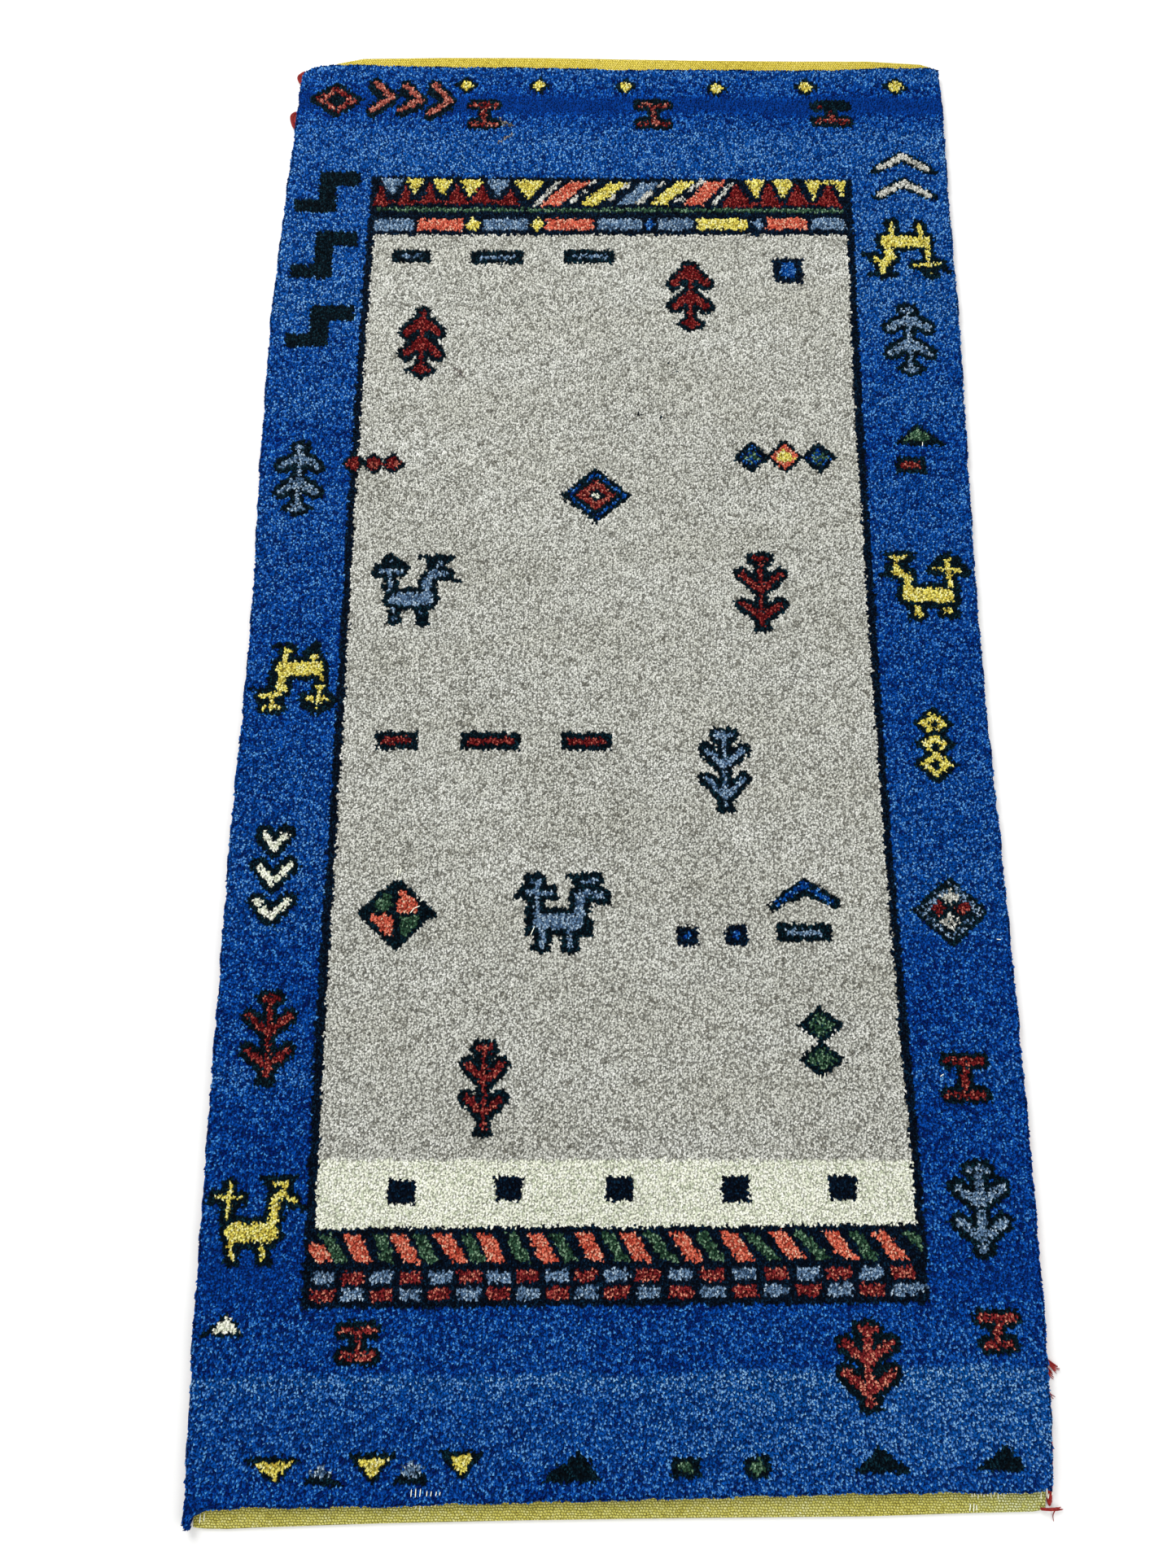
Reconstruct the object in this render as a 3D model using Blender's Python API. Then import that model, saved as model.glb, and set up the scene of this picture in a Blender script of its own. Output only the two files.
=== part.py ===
"""A small hand-knotted wool rug lying flat: a woven ground with plain woven ends,
the knotted pile on it, and a wrapped edge cord along each side.

Metres, +Z up. The origin is on the underside, in the middle of the rug. +Y runs along its
length, away from the near end, and +X is to the right.
"""

import math

import bmesh
import bpy
import numpy as np

# Driving sizes, in metres
GAP = 0.0003
WEAVE_THICKNESS = 0.0030
PILE_TOP = 0.0120
CORD_WIDTH = 0.0050
CORD_HEIGHT = 0.0036
YARN_THICKNESS = 0.0024
YARN_LIFT = 0.0001  # keeps a yarn end's underside clear of the edge cord's own
STATION_PITCH = 0.020  # between points along the outline

# Sides along the rug, a row for each station: y, left and right edge of the pile, and how far
# inside them the middle of the left and the right edge cord lies. The right cord comes out from
# under the pile towards the near end.
SIDE_ROWS = (
    (-0.7120, -0.3520, 0.3440, 0.0043, -0.0005),
    (-0.6600, -0.3530, 0.3505, 0.0043, -0.0005),
    (-0.5700, -0.3555, 0.3525, 0.0043, -0.0005),
    (-0.4200, -0.3560, 0.3525, 0.0043, -0.0002),
    (-0.3000, -0.3560, 0.3512, 0.0043, 0.0020),
    (-0.1500, -0.3560, 0.3485, 0.0043, 0.0043),
    (-0.0300, -0.3530, 0.3455, 0.0043, 0.0043),
    (0.0900, -0.3515, 0.3450, 0.0043, 0.0043),
    (0.2100, -0.3545, 0.3470, 0.0043, 0.0043),
    (0.3900, -0.3545, 0.3505, 0.0043, 0.0043),
    (0.5400, -0.3480, 0.3500, 0.0043, 0.0043),
    (0.6600, -0.3430, 0.3515, 0.0043, 0.0043),
    (0.7000, -0.3360, 0.3500, 0.0043, 0.0043),
)

# Ends across the rug, a row for each station: share of the way from the left edge to the right,
# near end of the weave, near end of the pile, far end of the pile, far end of the weave.
# The pile reaches over the weave's end at the near left corner.
END_ROWS = (
    (0.000, -0.7095, -0.7070, 0.6780, 0.6800),
    (0.005, -0.7120, -0.7130, 0.6850, 0.6870),
    (0.017, -0.7145, -0.7000, 0.6915, 0.6960),
    (0.040, -0.7150, -0.6995, 0.6940, 0.7030),
    (0.080, -0.7140, -0.6990, 0.6940, 0.7085),
    (0.215, -0.7115, -0.6985, 0.6940, 0.7110),
    (0.500, -0.7090, -0.6945, 0.6950, 0.7135),
    (0.785, -0.7080, -0.6905, 0.6965, 0.7165),
    (0.900, -0.7060, -0.6900, 0.7010, 0.7170),
    (0.985, -0.7050, -0.6900, 0.7035, 0.7130),
    (1.000, -0.7035, -0.6885, 0.7010, 0.7085),
)
WEAVE_COLUMNS = (1, 4)
PILE_COLUMNS = (2, 3)

# Sections of the slabs, a row for each ring: height, whether its sides are set in from the
# middle of the cords (1) or from the pile's edge (0), how far at the sides, and at the ends
PILE_RINGS = (
    (WEAVE_THICKNESS + GAP, 1, 0.0032, 0.0012),
    (0.0052, 0, 0.0010, 0.0004),
    (0.0080, 0, 0.0000, 0.0000),
    (0.0106, 0, 0.0014, 0.0012),
    (PILE_TOP, 0, 0.0042, 0.0036),
)
WEAVE_CLEARANCE = CORD_WIDTH / 2 + 2 * GAP
WEAVE_RINGS = (
    (0.0000, 1, WEAVE_CLEARANCE + 0.0002, 0.0012),
    (0.0009, 1, WEAVE_CLEARANCE, 0.0000),
    (0.0021, 1, WEAVE_CLEARANCE, 0.0000),
    (WEAVE_THICKNESS, 1, WEAVE_CLEARANCE + 0.0002, 0.0011),
)

# Loose yarn ends at the edge cords, as routes of (how far out from the cord's middle, y)
LEFT_YARN_ENDS = {
    "loop": ((0.0000, 0.6350), (0.0075, 0.6320), (0.0108, 0.6220), (0.0078, 0.6120), (0.0000, 0.6090)),
    "corner tuft": ((0.0000, 0.6720), (0.0045, 0.6780), (0.0062, 0.6850)),
}
RIGHT_YARN_ENDS = {
    "tuft": ((0.0000, -0.5920), (0.0048, -0.5960), (0.0090, -0.6010)),
    "wisp": ((0.0000, -0.6150), (0.0045, -0.6190), (0.0080, -0.6230)),
    "corner tail": ((-0.0010, -0.6940), (0.0045, -0.6980), (0.0110, -0.6990)),
}

COBALT = (0.008, 0.055, 0.33, 1.0)
STRAW_YELLOW = (0.55, 0.40, 0.045, 1.0)
BRICK_RED = (0.26, 0.022, 0.018, 1.0)


def clear_scene():
    for old in list(bpy.data.objects):
        bpy.data.objects.remove(old, do_unlink=True)


def wool(name, color, roughness):
    """A plain dull material for one kind of yarn."""
    material = bpy.data.materials.new(name)
    material.use_nodes = True
    shader = material.node_tree.nodes["Principled BSDF"]
    shader.inputs["Base Color"].default_value = color
    shader.inputs["Roughness"].default_value = roughness
    shader.inputs["Metallic"].default_value = 0.0
    return material


def side_edges(y, follows_cord):
    """Left and right edge of the pile at y, or the middles of the two edge cords."""
    rows = np.array(SIDE_ROWS)
    left, right, left_inset, right_inset = (np.interp(y, rows[:, 0], rows[:, n]) for n in range(1, 5))
    return left + follows_cord * left_inset, right - follows_cord * right_inset


def outline(columns, follows_cord, side_inset, end_inset):
    """An outline from above, counter-clockwise, from the near and far columns of END_ROWS and the
    side edges, drawn in by the insets. Its points have the same places for any inset."""
    rows = np.array(END_ROWS)
    left, right = side_edges(0, 0)
    pitch = 2 * STATION_PITCH / (right - left)
    across = np.union1d(rows[:, 0], np.arange(rows[4, 0], rows[-3, 0], pitch).round(3))
    near = np.interp(across, rows[:, 0], rows[:, columns[0]]) + end_inset
    far = np.interp(across, rows[:, 0], rows[:, columns[1]]) - end_inset
    count = round((far[0] - near[0]) / STATION_PITCH)
    share = np.concatenate([across, np.ones(count), across[::-1], np.zeros(count)])
    up = np.linspace(near[-1], far[-1], count + 2)[1:-1]
    down = np.linspace(far[0], near[0], count + 2)[1:-1]
    y = np.concatenate([near, up, far[::-1], down])
    left, right = side_edges(y, follows_cord)
    x = left + side_inset + share * (right - left - 2 * side_inset)
    return np.column_stack([x, y])


def slab(name, columns, rings, material):
    """A closed flat solid: the outline with each ring's insets, at each ring's height."""
    mesh = bmesh.new()
    levels = []
    for height, follows_cord, side_inset, end_inset in rings:
        loop = outline(columns, follows_cord, side_inset, end_inset)
        levels.append([mesh.verts.new((x, y, height)) for x, y in loop])
    for low, high in zip(levels, levels[1:]):
        for n in range(len(low)):
            m = (n + 1) % len(low)
            mesh.faces.new((low[n], low[m], high[m], high[n]))
    mesh.faces.new(list(reversed(levels[0])))
    mesh.faces.new(levels[-1])
    bmesh.ops.recalc_face_normals(mesh, faces=mesh.faces)
    return finished(name, mesh, material)


def tube(route, width, height, sides, tip, lift=0.0):
    """A closed strand along a level route that lies on the surface, or that far above it. Each
    section is a flattened polygon with a side down; the last one is drawn in to the share tip."""
    mesh = bmesh.new()
    route = np.array(route)
    along = np.gradient(route, axis=0)
    along /= np.linalg.norm(along, axis=1)[:, None]
    across = np.column_stack([along[:, 1], -along[:, 0]])
    angles = (np.arange(sides) + 0.5) * 2 * math.pi / sides - math.pi / 2
    flat = math.cos(math.pi / sides)
    sections = []
    for n, (x, y) in enumerate(route):
        share = tip if n == len(route) - 1 else 1.0
        reach = np.cos(angles) * width / 2 * share
        rise = lift + height * share * (1 + np.sin(angles) / flat) / 2
        corners = zip(x + across[n, 0] * reach, y + across[n, 1] * reach, rise)
        sections.append([mesh.verts.new(corner) for corner in corners])
    for first, second in zip(sections, sections[1:]):
        for n in range(sides):
            m = (n + 1) % sides
            mesh.faces.new((first[n], first[m], second[m], second[n]))
    mesh.faces.new(sections[0])
    mesh.faces.new(sections[-1])
    bmesh.ops.recalc_face_normals(mesh, faces=mesh.faces)
    return mesh


def finished(name, mesh, material):
    """The mesh as an object of that name, shaded smooth but at its sharp edges."""
    data = bpy.data.meshes.new(name)
    mesh.to_mesh(data)
    mesh.free()
    data.materials.append(material)
    data.shade_smooth()
    data.set_sharp_from_angle(angle=math.radians(40))
    obj = bpy.data.objects.new(name, data)
    bpy.context.scene.collection.objects.link(obj)
    return obj


def join_by_union(obj, other):
    """Unites other with obj and removes it."""
    union = obj.modifiers.new("union", "BOOLEAN")
    union.operation = "UNION"
    union.solver = "EXACT"
    union.object = other
    graph = bpy.context.evaluated_depsgraph_get()
    joined = bpy.data.meshes.new_from_object(obj.evaluated_get(graph))
    obj.modifiers.clear()
    obj.data = joined
    bpy.data.objects.remove(other, do_unlink=True)


def edge_cord(name, side, ends_y, yarn_ends, material):
    """The wrapped cord under the pile's left (side -1) or right (side 1) edge, with the loose
    yarn ends that leave it."""
    count = round((ends_y[1] - ends_y[0]) / STATION_PITCH) + 1
    y = np.linspace(ends_y[0], ends_y[1], count)
    middle = side_edges(y, 1)[0 if side < 0 else 1]
    mesh = tube(np.column_stack([middle, y]), CORD_WIDTH, CORD_HEIGHT, 8, 0.7)
    cord = finished(name, mesh, material)
    for label, route in yarn_ends.items():
        points = [(np.interp(at, y, middle) + side * out, at) for out, at in route]
        tip = 1.0 if label == "loop" else 0.35
        strand = tube(points, YARN_THICKNESS, YARN_THICKNESS, 4, tip, YARN_LIFT)
        join_by_union(cord, finished(label, strand, material))
    return cord


def build():
    clear_scene()
    slab("ground_weave", WEAVE_COLUMNS, WEAVE_RINGS, wool("straw yellow weave", STRAW_YELLOW, 0.85))
    slab("pile", PILE_COLUMNS, PILE_RINGS, wool("cobalt pile", COBALT, 0.7))
    red = wool("brick red wrapping", BRICK_RED, 0.8)
    edge_cord("selvedge_left", -1, (-0.7060, 0.6860), LEFT_YARN_ENDS, red)
    edge_cord("selvedge_right", 1, (-0.7010, 0.6980), RIGHT_YARN_ENDS, red)


build()
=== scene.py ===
# A small hand-knotted wool rug lying flat: the cut pile tuft by tuft, the knots on its back,
# the yellow woven ends, the red wrapped edge cords and the loose yarn ends.
# Lengths are in metres. The pattern is charted in steps of one knot from the rug's middle.

import math

import bmesh
import bpy
import numpy as np
from mathutils import Matrix, Vector


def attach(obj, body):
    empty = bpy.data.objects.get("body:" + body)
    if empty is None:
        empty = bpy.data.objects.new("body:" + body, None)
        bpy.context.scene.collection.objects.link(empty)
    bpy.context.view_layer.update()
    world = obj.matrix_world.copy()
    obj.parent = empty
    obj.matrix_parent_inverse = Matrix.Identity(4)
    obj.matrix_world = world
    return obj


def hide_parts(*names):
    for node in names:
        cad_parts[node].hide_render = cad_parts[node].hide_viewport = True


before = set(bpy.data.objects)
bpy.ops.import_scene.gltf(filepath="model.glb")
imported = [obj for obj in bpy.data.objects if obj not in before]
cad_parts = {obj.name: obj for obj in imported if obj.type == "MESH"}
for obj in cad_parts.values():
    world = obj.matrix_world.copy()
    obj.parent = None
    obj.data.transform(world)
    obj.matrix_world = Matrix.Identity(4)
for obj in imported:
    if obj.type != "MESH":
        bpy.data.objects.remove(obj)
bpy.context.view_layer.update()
rng = np.random.default_rng(70142)
print("frame loaded:", ", ".join(sorted(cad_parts)))

gap = 0.0003
knot = 0.0027                       # one step of the chart

cord = {"width": 0.0050, "height": 0.0036, "wrapPitch": 0.0026, "wrapDepth": 0.13, "around": 9}
cord["clear"] = cord["width"] / 2 + 2 * gap         # from a cord's middle to the ground beside it
pile = {
    "width": 0.704, "pitch": 0.00208, "highest": 0.01195, "tipSpread": 0.0012, "root": 0.0084,
    "bedTop": 0.0090, "halfAcross": 0.0025, "halfAlong": 0.0034, "edgeHalf": 0.0016, "jitter": 0.0008,
    "wobble": 0.0011, "wobbleFade": 0.004, "ragged": 0.45,
    "lean": (0.0001, -0.0005), "leanSway": 0.0004, "leanSpread": 0.0007,
    "rimInward": (0, 0.0014, 0.0042), "rimTop": (0.0088, 0.0108, 0.0119),
    "wallInset": 0.0015, "wallHeights": (0.0036, 0.0094),
    "edgeRows": ((0.0096, 0.0004), (0.0080, 0.0001), (0.0062, 0.0006), (0.0046, 0.0013)), "edgeReach": 0.0019,
    "mostTufts": 62000,                             # a yarn with more is split into a left and a right piece
}

# Sides along the rug: y, left and right edge of the pile, inset of the left and right cord
sideRows = np.array((
    (-0.7120, -0.3520, 0.3440, 0.0043, 0.0002), (-0.6600, -0.3530, 0.3505, 0.0043, 0.0011),
    (-0.6200, -0.3541, 0.3514, 0.0043, 0.0014), (-0.5700, -0.3555, 0.3525, 0.0043, 0.0018),
    (-0.4200, -0.3560, 0.3525, 0.0043, 0.0018), (-0.3000, -0.3560, 0.3512, 0.0043, 0.0020),
    (-0.1500, -0.3560, 0.3485, 0.0043, 0.0043), (-0.0300, -0.3530, 0.3455, 0.0043, 0.0043),
    (0.0900, -0.3515, 0.3450, 0.0043, 0.0043), (0.2100, -0.3545, 0.3470, 0.0043, 0.0043),
    (0.3900, -0.3545, 0.3505, 0.0043, 0.0043), (0.5400, -0.3480, 0.3500, 0.0043, 0.0043),
    (0.6300, -0.3430, 0.3512, 0.0043, 0.0043), (0.6700, -0.3420, 0.3512, 0.0043, 0.0043),
    (0.7000, -0.3375, 0.3500, 0.0043, 0.0043),
))

# Ends across the rug, in columns
endColumns = ("share", "nearWeave", "nearPile", "farPile", "farWeave")
endRows = np.array((
    (0.000, -0.7135, -0.7090, 0.6800, 0.6800), (0.005, -0.7142, -0.7150, 0.6870, 0.6870),
    (0.0115, -0.7145, -0.7142, 0.6902, 0.6919), (0.0142, -0.7146, -0.7010, 0.6916, 0.6939),
    (0.017, -0.7147, -0.7000, 0.6930, 0.6960), (0.040, -0.7150, -0.6995, 0.6960, 0.7040),
    (0.080, -0.7140, -0.6990, 0.6964, 0.7108), (0.215, -0.7115, -0.6985, 0.6955, 0.7140),
    (0.380, -0.7098, -0.6958, 0.6968, 0.7160), (0.500, -0.7090, -0.6945, 0.6955, 0.7158),
    (0.620, -0.7085, -0.6925, 0.6975, 0.7158), (0.785, -0.7080, -0.6905, 0.6985, 0.7170),
    (0.900, -0.7060, -0.6900, 0.7030, 0.7185), (0.985, -0.7050, -0.6900, 0.7052, 0.7155),
    (1.000, -0.7035, -0.6885, 0.7020, 0.7120),
))


def sideEdges(y, followsCord=0):
    # left and right edge at y: the table's edges, drawn in to the cords' middles if asked
    left, right, leftIn, rightIn = (np.interp(y, sideRows[:, 0], column) for column in sideRows.T[1:])
    return left + followsCord * leftIn, right - followsCord * rightIn


def endEdge(share, name):
    # y of that end, where share is the way across from left to right
    return np.interp(share, endRows[:, 0], endRows[:, endColumns.index(name)])


def pileEnds(share):
    # near and far end of the pile
    return endEdge(share, "nearPile"), endEdge(share, "farPile")


# nodes of materials

def setInputs(node, inputs):
    # each input is set to a value, or linked where it is given another node's output
    for key, value in inputs.items():
        if isinstance(value, bpy.types.NodeSocket):
            node.id_data.links.new(value, node.inputs[key])
        else:
            node.inputs[key].default_value = value


def addNode(tree, kind, inputs, **properties):
    # the outputs of a new node with the given properties and inputs
    node = tree.nodes.new(kind)
    for key, value in properties.items():
        setattr(node, key, value)
    setInputs(node, inputs)
    return node.outputs


def calculate(tree, operation, *values):
    # the result of a math node over numbers and outputs
    return addNode(tree, "ShaderNodeMath", dict(enumerate(values)), operation=operation)["Value"]


def ranged(tree, value, start, stop, low=0.0, high=1.0, kind="LINEAR"):
    # the value moved from the range start to stop into the range low to high
    inputs = {"Value": value, "From Min": start, "From Max": stop, "To Min": low, "To Max": high}
    return addNode(tree, "ShaderNodeMapRange", inputs, interpolation_type=kind)["Result"]


def scaled(tree, vector, share):
    # the vector or colour times a number
    return addNode(tree, "ShaderNodeVectorMath", {"Vector": vector, "Scale": share},
                   operation="SCALE")["Vector"]


def newGroup(name, inputs, outputs):
    # an empty node group with sockets as name and kind, and what its inputs give
    group = bpy.data.node_groups.new(name, "ShaderNodeTree")
    for way, sockets in (("INPUT", inputs), ("OUTPUT", outputs)):
        for label, kind in sockets.items():
            group.interface.new_socket(label, in_out=way, socket_type=f"NodeSocket{kind}")
    return group, addNode(group, "NodeGroupInput", {})


# camera, floor and light

view = {"focal": 1448, "tall": 1927, "sensor": 36, "pitch": 13.860526, "yaw": -4.061923,
        "roll": 4.310567, "at": (-0.04894817, -0.36140027, 1.06273292)}


def makeCamera():
    # a pinhole whose focal length in picture heights is focal / tall
    data = bpy.data.cameras.new("camera")
    data.sensor_width = view["sensor"]
    data.lens = view["focal"] / view["tall"] * view["sensor"]
    data.clip_start = 0.01
    camera = bpy.data.objects.new("camera", data)
    bpy.context.scene.collection.objects.link(camera)
    yaw, pitch, roll = (Matrix.Rotation(math.radians(view[key]), 4, axis)
                        for key, axis in (("yaw", "Z"), ("pitch", "X"), ("roll", "Z")))
    camera.matrix_world = Matrix.Translation(Vector(view["at"])) @ (yaw @ pitch @ roll)
    bpy.context.scene.camera = camera


studio = {"world": 0.80, "key": 60, "keyAt": (-1.2, 1.7, 2.3), "keySize": 1.4,
          "fill": 20, "fillAt": (1.6, -1.2, 2.2), "fillSize": 2.0,
          "floor": (0.86, 0.86, 0.85), "floorHalf": 4, "floorHeight": -0.0004}


def softLight(name, at, size, power):
    # a square area light aimed at the rug's middle
    data = bpy.data.lights.new(name, "AREA")
    data.size = size
    data.energy = power
    light = bpy.data.objects.new(name, data)
    light.location = at
    light.rotation_euler = (-Vector(at)).to_track_quat("-Z", "Y").to_euler()
    bpy.context.scene.collection.objects.link(light)


def makeStudio():
    # an even white world, two soft lights and a plain pale floor just under the rug
    bpy.context.scene.view_settings.view_transform = "Standard"
    world = bpy.data.worlds.new("studio")
    world.use_nodes = True
    setInputs(world.node_tree.nodes["Background"], {"Color": (1, 1, 1, 1), "Strength": studio["world"]})
    bpy.context.scene.world = world
    for name in ("key", "fill"):
        softLight(name, studio[name + "At"], studio[name + "Size"], studio[name])
    mesh = bpy.data.meshes.new("floor")
    corners = [(studio["floorHalf"] * x, studio["floorHalf"] * y, studio["floorHeight"])
               for x, y in ((-1, -1), (1, -1), (1, 1), (-1, 1))]
    mesh.from_pydata(corners, [], [(0, 1, 2, 3)])
    floor = bpy.data.objects.new("floor", mesh)
    bpy.context.scene.collection.objects.link(floor)
    paint = bpy.data.materials.new("floor")
    paint.use_nodes = True
    shader = paint.node_tree.nodes["Principled BSDF"]
    setInputs(shader, {"Base Color": (*studio["floor"], 1), "Roughness": 0.8})
    mesh.materials.append(paint)


makeCamera()
makeStudio()
print("camera, floor and lights made")


# yarns and their materials

def dye(red, green, blue):
    # a colour given as on screen, 0 to 255, turned linear
    levels = np.array((red, green, blue)) / 255
    return (*np.where(levels <= 0.04045, levels / 12.92, ((levels + 0.055) / 1.055) ** 2.4).tolist(), 1.0)


def yarnLook(slotName, dark, body, paintedGlint, darkLot, lightLot, shadow=0.5):
    # a yarn's slot, its dark and usual tufts, the colour of its painted glint (a painted highlight near the
    # tips of its lighter tufts), the tint of its darkest and lightest dye lot, and how light its painted root
    # shadow leaves it near the root
    return {"slot": slotName, "dark": dye(*dark), "body": dye(*body), "paintedGlint": dye(*paintedGlint),
            "lots": (darkLot, lightLot), "shadow": shadow}


def plainLots(low, high):
    # two lots that only differ in lightness
    return (low, low, low), (high, high, high)


yarns = {
    "blue": yarnLook("pile_blue", (0, 34, 106), (8, 96, 192), (158, 206, 252),
                     (0.3, 0.80, 1.0), (0.92, 1.02, 0.98), 0.26),
    "field": yarnLook("pile_field", (140, 139, 129), (228, 230, 221), (255, 255, 250),
                      (0.99, 0.98, 0.94), (1.2, 1.2, 1.21), 0.32),
    "cream": yarnLook("pile_cream", (204, 210, 186), (255, 255, 240), (255, 255, 252),
                      (1.12, 1.14, 1.1), (1.32, 1.34, 1.3), 0.4),
    "navy": yarnLook("pile_navy", (0, 5, 16), (0, 17, 38), (6, 48, 76), *plainLots(0.8, 1.2), 0.3),
    "ink": yarnLook("pile_navy", (0, 7, 15), (0, 22, 34), (10, 56, 70), *plainLots(0.8, 1.2), 0.3),
    "red": yarnLook("pile_red", (82, 10, 14), (150, 30, 30), (240, 118, 92),
                    (0.62, 0.4, 0.6), (1.15, 2.3, 2.5), 0.2),
    "coral": yarnLook("pile_coral", (182, 60, 46), (253, 124, 96), (255, 222, 190),
                      *plainLots(0.9, 1.1), 0.3),
    "rose": yarnLook("pile_coral", (116, 46, 42), (196, 100, 86), (246, 180, 156),
                     *plainLots(0.9, 1.1), 0.25),
    "yellow": yarnLook("pile_yellow", (190, 164, 60), (255, 242, 108), (255, 254, 208),
                       (1.0, 1.0, 1.05), (1.25, 1.25, 1.3), 0.26),
    "steel": yarnLook("pile_steel", (46, 78, 118), (120, 154, 194), (212, 232, 250),
                      (0.9, 0.9, 0.85), (1.2, 1.2, 1.15), 0.2),
    "green": yarnLook("pile_green", (16, 46, 34), (66, 106, 78), (158, 192, 158),
                      *plainLots(0.85, 1.15), 0.25),
    "mend": yarnLook("pile_field", (78, 80, 84), (146, 140, 132), (206, 200, 188), *plainLots(0.9, 1.1), 0.3),
}
yarnNames = list(yarns)


def yarnShadeGroup():
    # colour = the tuft's own shade from dark over body, with the painted glint (a painted highlight) on its
    # lighter tufts only near the tip, times the tint of its dye lot, times fibre noise, times the painted
    # shadow towards the root
    group, given = newGroup("yarn shade", {
        "Dark": "Color", "Body": "Color", "Bright": "Color", "Lot Low": "Vector", "Lot High": "Vector",
        "Root Shadow": "Float", "Fibre Scale": "Float", "Fibre Depth": "Float",
    }, {"Color": "Color", "Roughness": "Float", "Fibre": "Float"})
    shade, lot, height = (addNode(group, "ShaderNodeAttribute", {}, attribute_name=name)["Fac"]
                          for name in ("shade", "lot", "height"))

    def mixed(kind, share, first, second, held=True):
        inputs = {"Factor": share, "A": first, "B": second}
        return addNode(group, "ShaderNodeMix", inputs, data_type=kind, clamp_factor=held)["Result"]

    place = addNode(group, "ShaderNodeTexCoord", {})["Object"]
    stretch = addNode(group, "ShaderNodeMapping", {"Vector": place, "Scale": (1, 1, 0.25)})["Vector"]
    noise = {"Vector": stretch, "Scale": given["Fibre Scale"], "Detail": 2}
    fibre = addNode(group, "ShaderNodeTexNoise", noise)["Fac"]
    nearTip = ranged(group, height, 0.35, 0.8, kind="SMOOTHSTEP")
    # glint: a painted highlight, the bright colour on the tips of the lighter tufts
    glint = calculate(group, "MULTIPLY", ranged(group, shade, 0.45, 0.9), nearTip)
    body = mixed("RGBA", ranged(group, shade, 0.0, 0.45), given["Dark"], given["Body"])
    wool = mixed("RGBA", glint, body, given["Bright"])
    tint = mixed("VECTOR", lot, given["Lot Low"], given["Lot High"], False)
    thinnest = calculate(group, "SUBTRACT", 1.0, given["Fibre Depth"])
    fibreLight = ranged(group, fibre, 0.25, 0.75, thinnest)
    # painted shade: darker towards each tuft's root, standing in for the shade between tufts
    rootLight = ranged(group, height, 0.2, 0.7, given["Root Shadow"], kind="SMOOTHSTEP")
    tinted = addNode(group, "ShaderNodeVectorMath", {0: wool, 1: tint}, operation="MULTIPLY")["Vector"]
    addNode(group, "NodeGroupOutput", {
        "Color": scaled(group, tinted, calculate(group, "MULTIPLY", fibreLight, rootLight)),
        "Roughness": ranged(group, shade, 0.0, 1.0, 0.85, 0.55), "Fibre": fibre})
    return group


yarnShade = yarnShadeGroup()


def woolMaterial(name, yarn, rootShadow=0.12, fibreScale=800, fibreDepth=0.5, sheen=0.0, bump=0.00012):
    # dull wool whose colour and roughness come from the yarn shade group, with its fibres as fine bumps
    material = bpy.data.materials.new(name)
    material.use_nodes = True
    tree = material.node_tree
    shades = addNode(tree, "ShaderNodeGroup", {
        "Dark": yarn["dark"], "Body": yarn["body"], "Bright": yarn["paintedGlint"],
        "Lot Low": yarn["lots"][0], "Lot High": yarn["lots"][1],
        "Root Shadow": rootShadow, "Fibre Scale": fibreScale, "Fibre Depth": fibreDepth,
    }, node_tree=yarnShade)
    relief = addNode(tree, "ShaderNodeBump", {"Strength": 0.6, "Distance": bump, "Height": shades["Fibre"]})
    setInputs(tree.nodes["Principled BSDF"], {
        "Base Color": shades["Color"], "Roughness": shades["Roughness"], "Normal": relief["Normal"],
        "Sheen Weight": sheen, "Sheen Roughness": 0.45, "Specular IOR Level": 0.05})
    return material


# the chart, as distances in steps: below 0 is inside a figure

def strokes(x, y, rows):
    # distance to the nearest of the segments x0, y0, x1, y1, less half its width
    fields = []
    for x0, y0, x1, y1, width in rows:
        runX, runY = x1 - x0, y1 - y0
        along = np.clip(((x - x0) * runX + (y - y0) * runY) / (runX ** 2 + runY ** 2 + 1e-9), 0, 1)
        fields.append(np.hypot(x - x0 - along * runX, y - y0 - along * runY) - width / 2)
    return np.minimum.reduce(fields)


def block(x, y, x0, x1, y0, y1):
    # how far outside the upright rectangle
    return np.maximum.reduce([x0 - x, x - x1, y0 - y, y - y1])


def lozenge(x, y, midX, midY, halfX, halfY):
    # |x| / halfX + |y| / halfY = 1, scaled to its shorter half
    return (np.abs(x - midX) / halfX + np.abs(y - midY) / halfY - 1) * min(halfX, halfY)


def wedge(x, y, x0, x1, baseY, tipX, tipY):
    # triangle from a base between x0 and x1 to its tip
    share = (y - baseY) / (tipY - baseY)
    left = x0 + (tipX - x0) * share
    right = x1 + (tipX - x1) * share
    tall = abs(tipY - baseY)
    return np.maximum.reduce([(left - x) * 0.85, (x - right) * 0.85, -share * tall, (share - 1) * tall])


def slant(x, y, lowX, lowY, highX, highY, width):
    # leaning bar with level ends, its width measured level
    share = (y - lowY) / (highY - lowY)
    aside = np.abs(x - lowX - (highX - lowX) * share) - width / 2
    return np.maximum.reduce([aside * 0.8, lowY - y, y - highY])


# Frame lines along the rug: y, outer and inner edge of the left line, inner and outer edge of the
# right one
frameRows = np.array((
    (-203, -98.8, -95.8, 91.8, 95.0), (-160, -98.9, -96.0, 91.9, 94.6), (-120, -99.4, -96.2, 90.2, 93.3),
    (-60, -98.6, -95.8, 89.0, 91.8), (-10, -98.2, -95.5, 88.2, 91.0), (50, -98.2, -95.6, 87.8, 90.6),
    (110, -97.7, -95.1, 87.4, 90.5), (160, -97.0, -94.3, 88.3, 91.0), (206, -95.8, -93.0, 88.4, 91.4),
))

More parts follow.
